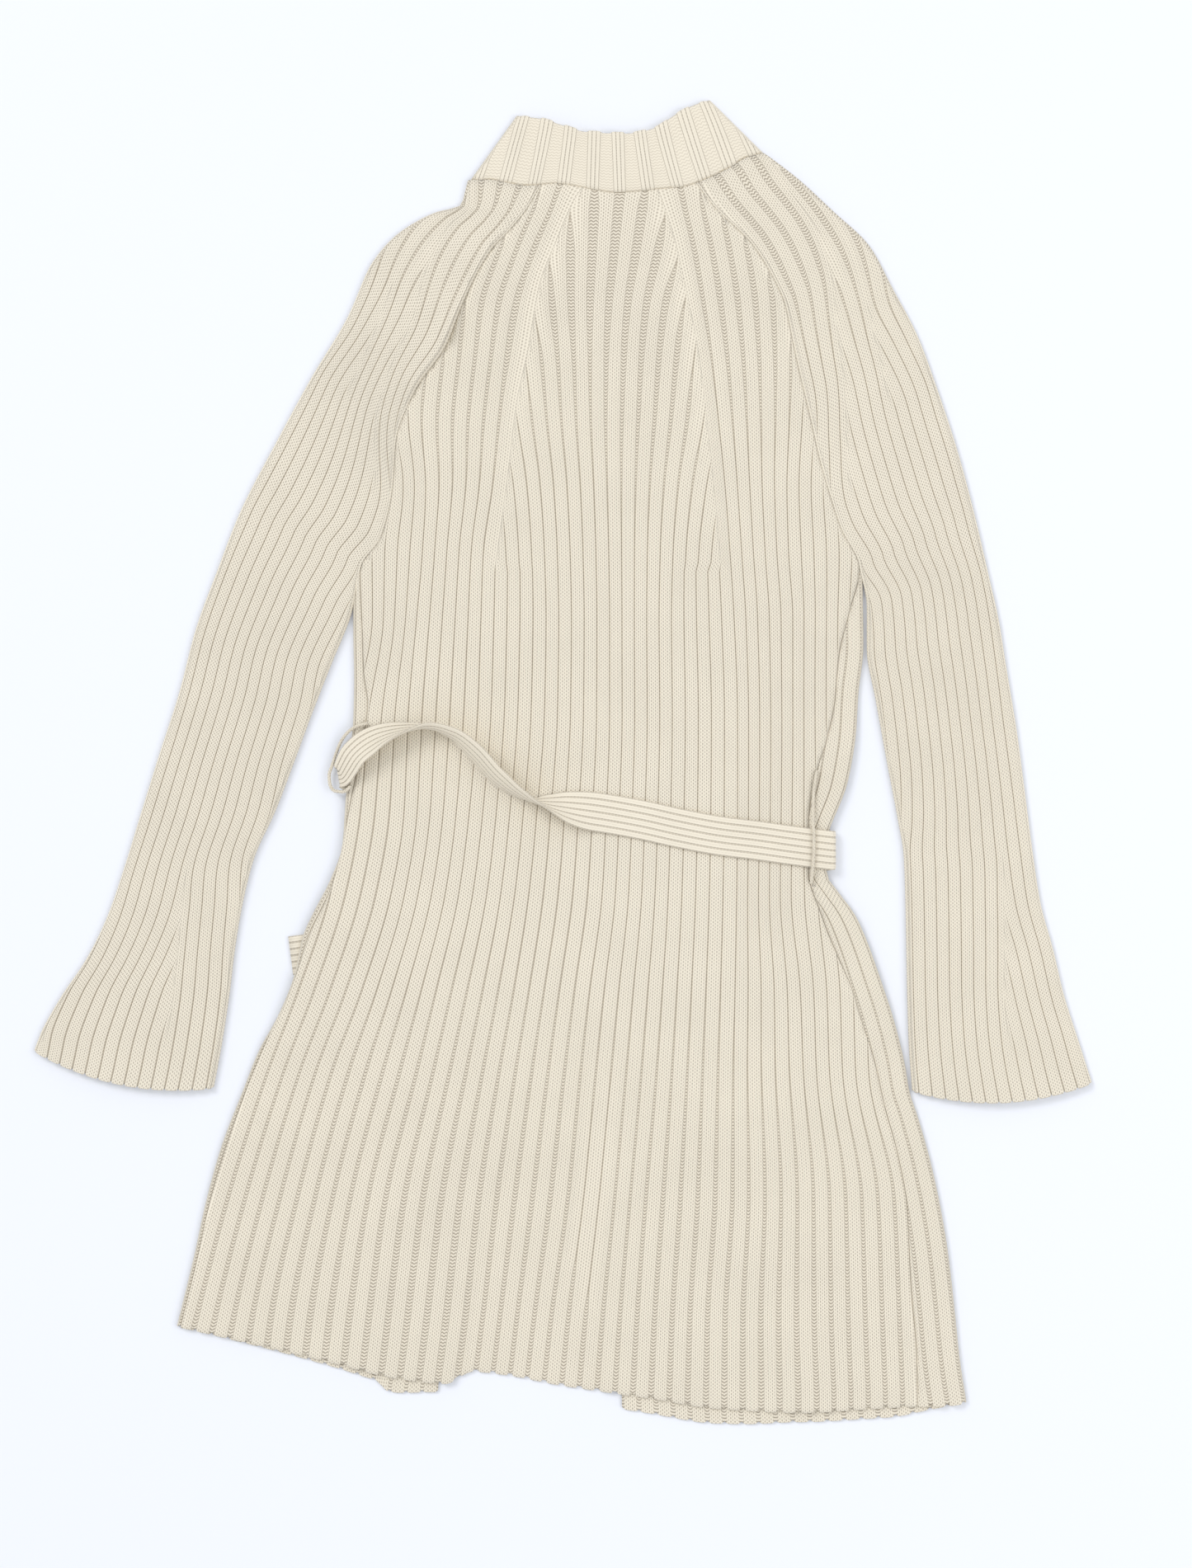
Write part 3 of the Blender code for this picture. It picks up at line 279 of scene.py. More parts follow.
def lift(y):
    """How far the belt's hidden ends raise the cloth at pixel row y."""
    from_row, to_row, above, below = LIFTED_ROWS
    return TAIL_LIFT * np.clip(np.minimum((y - from_row + above) / above, (to_row + below - y) / below), 0, 1)


def level_y(level, x, longer=0.0):
    bend = ease((level - HEM_BEND_FROM) / (HEM_LEVEL - HEM_BEND_FROM))
    return level + bend * (smooth(BACK_HEM, x) + longer * smooth(FRONT_HEM_LONGER, x) - HEM_LEVEL)


def at_level(edge, level, longer=0.0):
    """x where an edge crosses each level."""
    x = smooth(edge, level)
    for _ in range(4):
        x = smooth(edge, level_y(level, x, longer))
    return x


def levels(step):
    """Rows from the neck to the hem, closer together at both ends."""
    inner = np.arange(NECK_LEVEL + 12, HEM_LEVEL - 14, step)
    return np.concatenate([[NECK_LEVEL, NECK_LEVEL + 3, NECK_LEVEL + 7], inner,
                           [HEM_LEVEL - 12, HEM_LEVEL - 7, HEM_LEVEL - 3.5, HEM_LEVEL - 1, HEM_LEVEL]])


def to_collar(level, x, gap):
    """How far rows move to follow the collar's seam, with a gap under it."""
    return ease((NECK_LEVEL + NECK_EASE - level) / NECK_EASE) * (smooth(COLLAR_SEAM, x) + gap - NECK_LEVEL)


def hem_scallop(level, profile):
    """How much further down the knit of each rib reaches at the hem."""
    return HEM_SCALLOP * (profile - SCALLOP_MIDDLE) * ease((level - HEM_LEVEL + HEM_EASE) / HEM_EASE)


def gutter_share(pitch, knit=KNIT_PX, most=GUTTER_MOST):
    """What the gutter takes of ribs that are so many pixels wide."""
    return np.clip(1 - knit / np.maximum(pitch, 1), GUTTER_LEAST, most)


def rib_columns(gutter, fine=True):
    """Each column's rib number and gutter share, from each row's gutters, of which there is one more than ribs."""
    rows, ribs = gutter.shape[0], gutter.shape[1] - 1
    left, right = gutter[:, :-1], gutter[:, 1:]
    middle = 0 * left + 0.5
    if fine:
        parts = [0 * left, left * 0.375, left / 2 + 0.05, left / 2 + 0.16, middle,
                 1 - right / 2 - 0.16, 1 - right / 2 - 0.05, 1 - right * 0.375]
        shares = [left] * 4 + [(left + right) / 2] + [right] * 3
    else:
        parts = [0 * left, left / 2 + 0.06, middle, 1 - right / 2 - 0.06]
        shares = [left] * 2 + [(left + right) / 2, right]
    rib = np.stack(parts, axis=-1) + np.arange(ribs)[:, None]
    share = np.stack(shares, axis=-1)
    return (np.concatenate([rib.reshape(rows, -1), np.full((rows, 1), float(ribs))], axis=1),
            np.concatenate([share.reshape(rows, -1), gutter[:, -1:]], axis=1))


def rib_profile(rib, gutter):
    """A rib's height across it, from 0 in the groove to 1 on the crest."""
    part = rib - np.floor(rib)
    away = np.minimum(part, 1 - part)
    shoulder = ease((away - gutter * 0.30) / (gutter * 0.2 + 0.07))
    return shoulder * (0.93 + 0.07 * np.sqrt(np.clip(1 - (1 - 2 * away) ** 2, 0, 1)))


def wall(name, outer, inner, across, along, gutter, mirrored=False):
    """A closed wall's mesh from two grids of points, with its rib and course numbers as its UV map."""
    if mirrored:
        outer, inner, across, along, gutter = (part[:, ::-1] for part in (outer, inner, across, along, gutter))
    rows, columns = outer.shape[:2]
    index = np.arange(rows * columns).reshape(rows, columns)
    second = rows * columns
    quads = np.stack([index[:-1, :-1], index[1:, :-1], index[1:, 1:], index[:-1, 1:]], axis=-1).reshape(-1, 4)
    rim = np.concatenate([index[:, 0], index[-1, 1:], index[-2::-1, -1], index[0, -2:0:-1]])
    after = np.roll(rim, -1)
    sides = np.stack([rim, rim + second, after + second, after], axis=-1)
    faces = np.concatenate([quads, quads[:, ::-1] + second, sides])
    points = np.concatenate([outer.reshape(-1, 3), inner.reshape(-1, 3)])
    mesh = bpy.data.meshes.new(name)
    mesh.from_pydata(points.tolist(), [], faces.tolist())
    grid = rows, columns
    across, along, gutter = (np.tile(np.broadcast_to(part, grid).ravel(), 2) for part in (across, along, gutter))
    layer = mesh.uv_layers.new(name="knit")
    corners = faces.ravel()
    layer.data.foreach_set("uv", np.column_stack([across[corners], along[corners]]).ravel())
    attribute = mesh.attributes.new("gutter", "FLOAT", "POINT")
    attribute.data.foreach_set("value", gutter)
    work = bmesh.new()
    work.from_mesh(mesh)
    bmesh.ops.remove_doubles(work, verts=work.verts, dist=2e-6)
    work.to_mesh(mesh)
    work.free()
    return mesh


def dress(mesh, material, node):
    """A piece that rides on the garment's one body and stands for its solid, which it hides."""
    mesh.shade_smooth()
    mesh.materials.append(material)
    piece = bpy.data.objects.new(mesh.name, mesh)
    scene.collection.objects.link(piece)
    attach(piece, "root")
    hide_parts(node)
    return piece


def between(number, numbers, lines):
    """x at groove numbers, read between the lines of a few of them."""
    x = lines[0]
    for start, end, here, after in zip(numbers, numbers[1:], lines, lines[1:]):
        x = x + (after - here) * np.clip((number - start) / (end - start), 0, 1)
    return x


def groove_x(number, y):
    """x of grooves of the back at pixel rows y, or of places between two grooves."""
    table = np.array(GROOVES, float)
    lines = [smooth(table[:, [0, column]], y) for column in range(1, len(GROOVES[0]))]
    first, last = DART_RIBS
    first_x, last_x = smooth(DART_LEFT, y), smooth(DART_RIGHT, y)
    on_left = between(number, GROOVE_NUMBERS[:3] + (first,), lines[:3] + [first_x])
    on_right = between(number, (last,) + GROOVE_NUMBERS[-3:], [last_x] + lines[-3:])
    before, middle, after = lines[3:6]
    pitch = np.where(number < GROOVE_NUMBERS[4], middle - before, after - middle) / 5
    grown = np.clip(middle + (number - GROOVE_NUMBERS[4]) * pitch, first_x, last_x)
    above = np.where(number < first, on_left, np.where(number > last, on_right, grown))
    return np.where(y >= ARMPIT_LEVEL, between(number, GROOVE_NUMBERS, lines), above)


def back_rib_x(number, level):
    x = groove_x(number, level)
    for _ in range(2):
        x = groove_x(number, level_y(level, x))
    return x


def under_back(x, y):
    """The height of the back's underside: on the fronts, and on the table between them."""
    left, right = smooth(FRONT_EDGE_LEFT, y), smooth(FRONT_EDGE_RIGHT, y)
    clear, slope = 8, 24
    sunk = ease((x - left - clear) / slope) * ease((right - clear - x) / slope)
    return STEP_DOWN * (1 - sunk) + lift(y) + creases(x, y, BACK_CREASES) * (1 - sunk)


def make_back(material):
    level = levels(11.0)[:, None]
    grooves = np.arange(RIBS_BACK + 1.0)[None, :]
    groove_at = back_rib_x(grooves, level)
    gutter = gutter_share(np.gradient(groove_at, axis=1), smooth(KNIT_AT_LEVEL, level))
    for groove, start, end in CLOSED_GROOVES:
        shut = ease((level[:, 0] - start) / 40) * ease((end - level[:, 0]) / 40)
        gutter[:, groove] += (GUTTER_LEAST - gutter[:, groove]) * shut
    rib, share = rib_columns(gutter)
    left, right = at_level(BACK_LEFT, level) + SEAM_SHOWN, at_level(BACK_RIGHT, level) - SEAM_SHOWN
    x = np.clip(back_rib_x(rib, level), left, right)
    x[:, :1], x[:, -1:] = left, right
    profile = rib_profile(rib, share)
    y = level_y(level, x) + to_collar(level, x, SEAM_SHOWN) + hem_scallop(level, profile)
    # Above the armpits a groove starts a little way from its fashioning line, and from the raglan seam.
    growing = level < ARMPIT_LEVEL
    darts = [np.where(growing, abs(x - smooth(dart, level)), FAR) for dart in (DART_LEFT, DART_RIGHT)]
    to_side = least(x - left, right - x)
    started = ease(least(*darts) / 6) * ease(to_side / np.where(growing, 10, 4))
    to_edge = least(to_side, HEM_LEVEL - level, level - NECK_LEVEL)
    z = under_back(x, y)
    top = z + (WALL + RELIEF * (1 - (1 - profile) * started)) * edge_rounding(to_edge)
    mesh = wall("back_panel", place(x, y, top), place(x, y, z), rib, y * PIXEL / COURSE, share * started)
    return dress(mesh, material, "back")


def edge_rounding(away):
    """What is left of the cloth's thickness so many pixels from its edge."""
    return 0.6 + 0.4 * np.sqrt(np.clip(away / 2.5, 0, 1))


def fold_arc(steps):
    return np.pi * (np.arange(steps) + 1) / (steps + 1)


def make_front(name, node, side, ribs, material):
    """A front: its hidden panel, the folded edge of the body, and the strip up to the side seam."""
    left = side < 0
    front_edge, body_edge, seam = (
        (FRONT_EDGE_LEFT, BODY_LEFT, BACK_LEFT) if left else (FRONT_EDGE_RIGHT, BODY_RIGHT, BACK_RIGHT)
    )
    level = levels(11.0)[:, None]
    raised = level > ARMPIT_LEVEL
    edge_x = at_level(front_edge, level, 1)
    seam_x = at_level(seam, level)
    fold_x = np.where(raised, at_level(body_edge, level, 1), seam_x)
    flat_to = fold_x - side * np.where(raised, FOLD_PX, SEAM_PX)
    width = abs(flat_to - edge_x)
    pitch = np.where(raised, width / ribs, 15.6 + 10 * np.clip((ARMPIT_LEVEL - level) / 460, 0, 1))
    gutter = gutter_share(pitch)
    rib, share = rib_columns(np.repeat(gutter, ribs + 1, axis=1), fine=False)
    x = edge_x + side * np.minimum(rib * pitch, width)
    profile = rib_profile(np.minimum(rib, width / pitch), share)
    y = level_y(level, x, 1) + to_collar(level, x, HIDDEN_NECK_GAP * SEAM_PX) + hem_scallop(level, profile)
    outer = [place(x, y, lift(y) + UNDER_RELIEF * (1 - profile))]
    inner = [place(x, y, lift(y) + WALL)]
    fold_y = level_y(level, fold_x, 1)
    up = lift(fold_y)
    angle = fold_arc(7)[::-1][None, :]
    radius = LAYER_GAP / 2
    arc_out = place(flat_to + side * FOLD_PX * np.sin(angle), fold_y, up + FOLD_RADIUS * (1 + np.cos(angle)))
    arc_in = place(flat_to + side * radius / PIXEL * np.sin(angle), fold_y, up + FOLD_RADIUS + radius * np.cos(angle))
    strip, strip_share = rib_columns(np.repeat(gutter, 4, axis=1))
    strip_width = np.maximum(abs(seam_x - flat_to), 0.5)
    strip_pitch = np.maximum(width / ribs * 0.98, 1)
    strip_away = np.minimum(strip * strip_pitch, strip_width)
    strip_x = flat_to - side * strip_away
    part = strip_away / strip_width
    strip_profile = rib_profile(np.minimum(strip, strip_width / strip_pitch), strip_share)
    strip_y = level_y(level, strip_x, 1 - part) + hem_scallop(level, strip_profile)
    z = under_back(strip_x, strip_y)
    to_seam = strip_width - strip_away
    thickness = (WALL + RELIEF * strip_profile * ease(to_seam / 4)) * edge_rounding(to_seam)
    strip_out = place(strip_x, strip_y, z + thickness)
    strip_in = place(strip_x, strip_y, z)
    last_out, last_in = outer[0][:, -1:], inner[0][:, -1:]
    closed = raised[:, :, None]
    outer += [np.where(closed, arc_out, last_out), np.where(closed, strip_out, last_out)]
    inner += [np.where(closed, arc_in, last_in), np.where(closed, strip_in, last_in)]
    turned = np.broadcast_to(ribs + (np.arange(7) + 1) / 8, (len(level), 7))
    across = [rib, turned, ribs + 1 + strip]
    gutters = [share, np.repeat(gutter, 7, axis=1), strip_share]
    outer, inner = np.concatenate(outer, axis=1), np.concatenate(inner, axis=1)
    across, gutters = np.concatenate(across, axis=1), np.concatenate(gutters, axis=1)
    courses = np.broadcast_to(fold_y * PIXEL / COURSE, across.shape)
    return dress(wall(name, outer, inner, across, courses, gutters, mirrored=not left), material, node)


def sleeve_stations(side, step):
    """Rows of a sleeve from the collar to the cuff: seam x and y, fold x and y, its rib numbers at both, ribs grown
    at its three lines, and 1 where it is a tube."""
    edge, top, rows = (
        (BACK_LEFT, SLEEVE_LEFT_TOP, SLEEVE_LEFT)
        if side < 0
        else (BACK_RIGHT, SLEEVE_RIGHT_TOP, SLEEVE_RIGHT)
    )
    count = len(top)
    ladder = np.arange(count + len(rows))
    fold_x = [x for x, _ in top] + [row[2] for row in rows]
    fold_y = [y for _, y in top] + [row[3] for row in rows]
    # Below the armpit both of the shoulder's lines have grown all their ribs.
    ribs = [top_row + (0,) for top_row in SLEEVE_TOP_RIBS] + [row[4:6] + (4, 2) + row[6:] for row in rows]
    lengths = np.hypot(np.diff(fold_x), np.diff(fold_y))
    spots = [np.linspace(i, i + 1, max(int(length / step), 2), endpoint=False) for i, length in enumerate(lengths)]
    spots = np.unique(np.concatenate(spots + [[ladder[-1] - 0.08, ladder[-1] - 0.03, ladder[-1]]]))
    level = np.interp(spots, ladder[:count], SLEEVE_TOP_LEVELS)
    armpit = float(at_level(edge, np.array(float(ARMPIT_LEVEL)))) + side * SEAM_SHOWN
    past_armpit = spots - (count - 1)
    low = [(armpit, ARMPIT_LEVEL)] + [row[:2] for row in rows]
    low_x, low_y = curves(zip(*low), past_armpit)
    seam_x = np.where(past_armpit > 0, low_x, at_level(edge, level) + side * SEAM_SHOWN)
    seam_y = np.where(past_armpit > 0, low_y, level)
    fold_x, fold_y, *ribs = curves((fold_x, fold_y, *zip(*ribs)), spots)
    return [part[:, None] for part in (seam_x, seam_y, fold_x, fold_y, ease(past_armpit), spots, *ribs)]


def among_grown(number, growth, grown):
    """Rib numbers less the ribs before them that haven't grown out yet."""
    hidden = [np.clip(number - line, 0, count - so_far) for (line, count), so_far in zip(growth, grown)]
    return number - sum(hidden)


def sleeve_grooves(growth, grown):
    """Where each groove lies among the grown ribs, and how far it shows. A new groove starts past its line."""
    numbers = np.arange(SLEEVE_RIBS + 1.0)[None, :]
    groove_at = among_grown(numbers, growth, grown)
    shown = np.ones_like(groove_at)
    for line, count in growth:
        begun = ease((groove_at - among_grown(line, growth, grown)) * 4 - 1)
        shown = np.where((numbers > line) & (numbers < line + count), begun, shown)
    return groove_at, shown


def make_sleeve(name, node, side, material):
    """A sleeve as one sheet, folded along its outer edge, its two long edges meeting under the arm."""
    table, growth = (SLEEVE_LEFT_CREASES, GROWTH_LEFT) if side < 0 else (SLEEVE_RIGHT_CREASES, GROWTH_RIGHT)
    under_ribs, turns, bends = 14, 5, 7
    seam_x, seam_y, fold_x, fold_y, closed, spot, first, last, *grown = sleeve_stations(side, 10.0)
    ribs = last - first
    width = np.hypot(fold_x - seam_x, fold_y - seam_y)
    right, down = (fold_x - seam_x) / width, (fold_y - seam_y) / width
    to_cuff = spot[-1, 0] - spot
    bulge = CUFF_BULGE * ease(1 - to_cuff / 3)
    puff = SLEEVE_PUFF * ease(spot / 6)
    gutter = gutter_share((width - 2 * FOLD_PX) / ribs)
    hem = ease(1 - to_cuff / 0.45)
    travelled = travel(np.concatenate([seam_x + fold_x, seam_y + fold_y], axis=1) / 2)

    def over(away, z, under=False, scallop=0.0):
        bow = bulge * np.sin(np.pi * np.clip(away / width, 0, 1)) ** PUFF_POWER + scallop
        x = seam_x + right * away - side * down * bow
        y = seam_y + down * away + side * right * bow
        # The first row follows the collar's seam, and the rows near it come into line.
        collar = smooth(COLLAR_SEAM, x) + (HIDDEN_NECK_GAP * SEAM_PX if under else SEAM_SHOWN)
        first = seam_y[:1] + (down * width)[:1] * away / width
        return place(x, y + np.where(spot < 1, ease(1 - spot / 0.9) * (collar - first), 0), z)

    def raised(away):
        x, y = seam_x + right * away, seam_y + down * away
        return puff * np.sin(np.pi * np.clip(away / width, 0, 1)) ** PUFF_POWER + creases(x, y, table)

    radius = LAYER_GAP / 2
    turn = np.radians(np.array([88, 70, 52, 34, 17]))[None, :]
    flat = FOLD_PX * (1 - np.sin(turn))
    flat_in = flat + (FOLD_PX - radius / PIXEL * np.sin(turn) - flat) * closed
    groove_at, shown = sleeve_grooves(growth, grown)
    rib, share = rib_columns(gutter * shown)
    at = np.clip(among_grown(rib, growth, grown), first, last)
    away = FOLD_PX + (at - first) / ribs * (width - 2 * FOLD_PX)
    profile = 1.0
    for number in range(SLEEVE_RIBS + 1):
        from_groove = np.minimum(abs(at - groove_at[:, [number]]), 0.5)
        profile = np.minimum(profile, 1 - shown[:, [number]] * (1 - rib_profile(from_groove, gutter)))
    scallop = HEM_SCALLOP * (profile - SCALLOP_MIDDLE) * hem
    z = TOP + raised(away)
    relief = RELIEF * (1 - (1 - profile) * ease(away / 10)) * ease((width - FOLD_PX - away + 1) / 4)
    edge = edge_rounding(np.where(closed > 0.5, FAR, flat))
    edge_z = TOP - WALL + (WALL + RELIEF * (1 - closed)) * edge + (FOLD_RADIUS * (1 + np.cos(turn)) - TOP) * closed
    out = [over(flat, edge_z), over(away, z + relief, scallop=scallop)]
    ins = [over(flat_in, TOP - WALL + (FOLD_RADIUS + radius * np.cos(turn) - TOP + WALL) * closed),
           over(away, z - WALL, scallop=scallop)]
    bend = fold_arc(bends)[None, :]
    out.append(over(width - FOLD_PX + FOLD_PX * np.sin(bend), FOLD_RADIUS * (1 + np.cos(bend))))
    ins.append(over(width - FOLD_PX + radius / PIXEL * np.sin(bend), FOLD_RADIUS + radius * np.cos(bend)))
    under_rib, under_share = rib_columns(np.repeat(gutter, under_ribs + 1, axis=1), fine=False)
    under_away = width - FOLD_PX - np.minimum(under_rib / ribs, 1) * (width - 2 * FOLD_PX)
    under_profile = rib_profile(np.minimum(under_rib, ribs), under_share)
    out.append(over(under_away, UNDER_RELIEF * (1 - under_profile) * ease((under_away - FOLD_PX) / 4), under=True))
    ins.append(over(under_away, WALL + 0 * under_away, under=True))
    under_in = WALL + (FOLD_RADIUS - radius * np.cos(turn) - WALL) * closed
    out.append(over(flat, FOLD_RADIUS * (1 - np.cos(turn)) * closed, under=True)[:, ::-1])
    ins.append(over(flat_in, under_in, under=True)[:, ::-1])
    steps = np.ones_like(spot)
    across = [steps * (0.05 * np.arange(turns) - 0.25), rib, SLEEVE_RIBS + steps * 0.06 * np.arange(1, bends + 1),
              SLEEVE_RIBS + 1 + under_rib, SLEEVE_RIBS + under_ribs + 1 + steps * 0.05 * np.arange(turns)]
    shares = [0 * steps.repeat(turns, axis=1), share * ease(away / 10), np.repeat(gutter, bends, axis=1), under_share,
              np.repeat(gutter, turns, axis=1)]
    outer, inner, across, shares = (np.concatenate(parts, axis=1) for parts in (out, ins, across, shares))
    courses = np.broadcast_to((travelled[:, None] + bulge * 0.7) * PIXEL / COURSE, across.shape)
    return dress(wall(name, outer, inner, across, courses, shares, mirrored=side < 0), material, node)


def make_collar(material):
    """The stand collar, folded at both ends to two short fronts underneath."""
    rows, flap, flap_ribs, bends, height = 22, 0.42, 5, 7, 85
    up = (1 - np.arange(rows) / (rows - 1))[:, None]
    seam_left, seam_right = COLLAR_SEAM[0][0] + 2, COLLAR_SEAM[-1][0] - 2
    edge_left, edge_right = COLLAR_EDGE[0][0], COLLAR_EDGE[-1][0]
    width = (seam_right - seam_left) + (edge_right - edge_left - seam_right + seam_left) * up
    fold, radius = FOLD_PX / width, LAYER_GAP / 2
    edge_row = ease((up - 0.86) / 0.14)

    def over(across, z, scallop=0.0):
        seam_x = seam_left + (seam_right - seam_left) * across
        edge_x = edge_left + (edge_right - edge_left) * across
        seam_y = smooth(COLLAR_SEAM, seam_x) - SEAM_SHOWN
        edge_y = smooth(COLLAR_EDGE, edge_x) - scallop
        return place(seam_x + (edge_x - seam_x) * up, seam_y + (edge_y - seam_y) * up, z)

    # Its grooves stand nearly upright, so the outer ones run off over its folds.
    seam_at, edge_at = np.array(COLLAR_GROOVES).T
    ribs = len(seam_at) - 1
    groove_x = seam_at + (edge_at - seam_at) * up
    left = seam_left + (edge_left - seam_left) * up
    rib, share = rib_columns(gutter_share(np.gradient(groove_x, axis=1), most=0.6))
    rib_x = np.stack([np.interp(at, np.arange(ribs + 1), line) for at, line in zip(rib, groove_x)])
    part = np.clip(((rib_x - left) / width - fold) / (1 - 2 * fold), 0, 1)
    profile = rib_profile(rib, share)
    started = ease(least(part, 1 - part) * width / 8)
    z = TOP + COLLAR_PUFF * np.sin(np.pi * part) ** 0.6 * up
    rounding = edge_rounding(least(1 - up, up) * height)
    relief = RELIEF * (1 - (1 - profile) * 0.6) * started
    scallop = 2.2 * (profile - SCALLOP_MIDDLE) * edge_row * started
    lower, lower_share = rib_columns(np.full((rows, flap_ribs + 1), GUTTER_MOST), fine=False)
    lower_relief = UNDER_RELIEF * (1 - rib_profile(lower, lower_share))
    bend = fold_arc(bends)[None, :]
    reach = fold + flap * (1 - lower / flap_ribs)
    fold_out, fold_z = fold * (1 - np.sin(bend)), FOLD_RADIUS * (1 + np.cos(bend))
    fold_in, fold_in_z = fold - radius / PIXEL / width * np.sin(bend), FOLD_RADIUS + radius * np.cos(bend)
    out = [over(reach, lower_relief), over(fold_out[:, ::-1], fold_z[:, ::-1]),
           over(fold + (1 - 2 * fold) * part, z - WALL + (WALL + relief) * rounding, scallop=scallop),
           over(1 - fold_out, fold_z), over(1 - reach[:, ::-1], lower_relief[:, ::-1])]
    ins = [over(reach, WALL + 0 * reach), over(fold_in[:, ::-1], fold_in_z[:, ::-1]),
           over(fold + (1 - 2 * fold) * part, z - WALL, scallop=scallop),
           over(1 - fold_in, fold_in_z), over(1 - reach[:, ::-1], WALL + 0 * reach)]
    turned = np.ones((rows, 1)) * 0.1 * np.arange(bends)
    turn_share = np.full((rows, bends), GUTTER_LEAST)
    across = np.concatenate([lower - flap_ribs - 1, turned - 0.8, rib, ribs + turned + 0.1, ribs + 1 + lower], axis=1)
    shares = np.concatenate([lower_share, turn_share, share, turn_share, lower_share], axis=1)
    outer, inner = np.concatenate(out, axis=1), np.concatenate(ins, axis=1)
    courses = np.broadcast_to((1 - up) * height * PIXEL / COURSE, across.shape)
    return dress(wall("collar_band", outer, inner, across, courses, shares), material, "collar")


def on_cloth(x, y):
    return float(TOP + RELIEF + lift(y) + creases(x, y, BACK_CREASES))


def belt_side(across, roll):
    return np.array([math.cos(across) * math.cos(roll), math.sin(across) * math.cos(roll), math.sin(roll)])


def belt_section(side, face, curl, width, parts):
    """Offsets and facings across the belt, whose section is an arc of so many radians."""
    curl = max(curl, FLAT_CURL)
    radius = width / curl
    angle = curl * parts[:, None]
    points = side * radius * np.sin(angle) - face * radius * (1 - np.cos(angle))
    return points, face * np.cos(angle) + side * np.sin(angle)


def belt_stations():
    found = []
    parts = np.linspace(-0.5, 0.5, 7)
    for lies, x, y, extra, across, roll, curl, share in BELT:
        across, roll, curl = math.radians(across), math.radians(roll), math.radians(curl)
        side = belt_side(across, roll)
        ahead = np.array([math.sin(across), -math.cos(across), 0])
        offsets, _ = belt_section(side, np.cross(ahead, side), curl, BELT_WIDTH * share, parts)
        low = BELT_WALL / 2 + BELT_OFF_FLOOR
        high = on_cloth(x, y) + BELT_CLEARANCE + extra * MM + low + BELT_TILT_ROOM - offsets[:, 2].min()
        if lies == "round":
            out = 1 if x > MIDDLE_X else -1
            radius = (high - low) / 2
            for turn in range(1, 6):
                angle = math.pi * (turn / 6 if out > 0 else 1 - turn / 6)
                found.append((x + out * radius / PIXEL * (math.sin(angle) - 1), y,
                              low + radius * (1 + math.cos(angle)), across, roll, curl, share))
        else:
            found.append((x, y, low if lies == "under" else high, across, roll, curl, share))
    return np.array(found)


def make_belt(material):
    """The tie belt as one ribbon with narrow ribs on both faces."""
    stations = belt_stations()
    places = np.arange(0, len(stations) - 1 + 0.01, 0.125)
    rows = np.column_stack(curves(stations.T, places))
    middles = place(rows[:, 0], rows[:, 1], rows[:, 2])
    aheads = np.gradient(middles, axis=0)
    travelled = travel(middles)
    rib, gutter = (part[0] for part in rib_columns(np.full((1, BELT_RIBS + 1), BELT_GUTTER)))
    parts = rib / BELT_RIBS - 0.5
    relief = BELT_RELIEF * rib_profile(rib, gutter)
    edge = np.sqrt(np.clip(1 - (2 * np.abs(parts)) ** 10, 0.12, 1))
    outer, inner = [], []
    for middle, ahead, (across, roll, curl, share) in zip(middles, aheads, rows[:, 3:]):
        ahead = ahead / np.linalg.norm(ahead)
        side = belt_side(across, roll)
        side = side - ahead * side.dot(ahead)
        side = side / np.linalg.norm(side)
        offsets, faces = belt_section(side, np.cross(ahead, side), curl, BELT_WIDTH * share, parts)
        thick = ((BELT_WALL / 2 - BELT_RELIEF + relief) * edge)[:, None]
        outer.append(middle + offsets + faces * thick)
        inner.append(middle + offsets - faces * thick)
    across = np.broadcast_to(rib[None, :], (len(rows), len(rib)))
    courses = np.broadcast_to((travelled / COURSE)[:, None], across.shape)
    mesh = wall("tie_belt", np.array(outer), np.array(inner), across, courses, gutter)
    return dress(mesh, material, "belt")


def make_loop(name, node, route, material):
    """A thin crocheted loop: three yarns laid round one another along the route."""
    xs, ys, heights = curves(zip(*route), np.linspace(0, len(route) - 1, 150))
    middles = place(xs, ys, heights * MM)
    ahead = np.gradient(middles, axis=0)
    ahead /= np.linalg.norm(ahead, axis=1)[:, None]
    level = np.cross(ahead, np.array([0, 0, 1.0]))
    level /= np.linalg.norm(level, axis=1)[:, None]
    up = np.cross(level, ahead)
    travelled = travel(middles)
    yarn, lay, sides = LOOP_RADIUS * 0.56, 7 * MM, 8
    index = np.arange(len(middles) * sides).reshape(-1, sides)
    after = np.roll(index, -1, axis=1)
    tube = np.stack([index[:-1], index[1:], after[1:], after[:-1]], axis=-1).reshape(-1, 4)

    def around(angle):
        return level * np.cos(angle)[:, None] + up * np.sin(angle)[:, None]

    points, faces = [], []
    for strand in range(3):
        phase = travelled / lay * 2 * np.pi + strand * 2 * np.pi / 3
        centre = middles + around(phase) * (LOOP_RADIUS - yarn)
        ring = [centre + around(np.full(len(centre), 2 * np.pi * turn / sides)) * yarn for turn in range(sides)]
        points += np.stack(ring, axis=1).reshape(-1, 3).tolist()
        faces += [(part + strand * index.size).tolist() for part in (*tube, index[0], index[-1, ::-1])]
    mesh = bpy.data.meshes.new(name)
    mesh.from_pydata(points, [], faces)
    layer = mesh.uv_layers.new(name="knit")
    for corner in mesh.loops:
        row, turn = divmod(corner.vertex_index % index.size, sides)
        layer.data[corner.index].uv = (turn / sides, travelled[row] / COURSE)
    return dress(mesh, material, node)


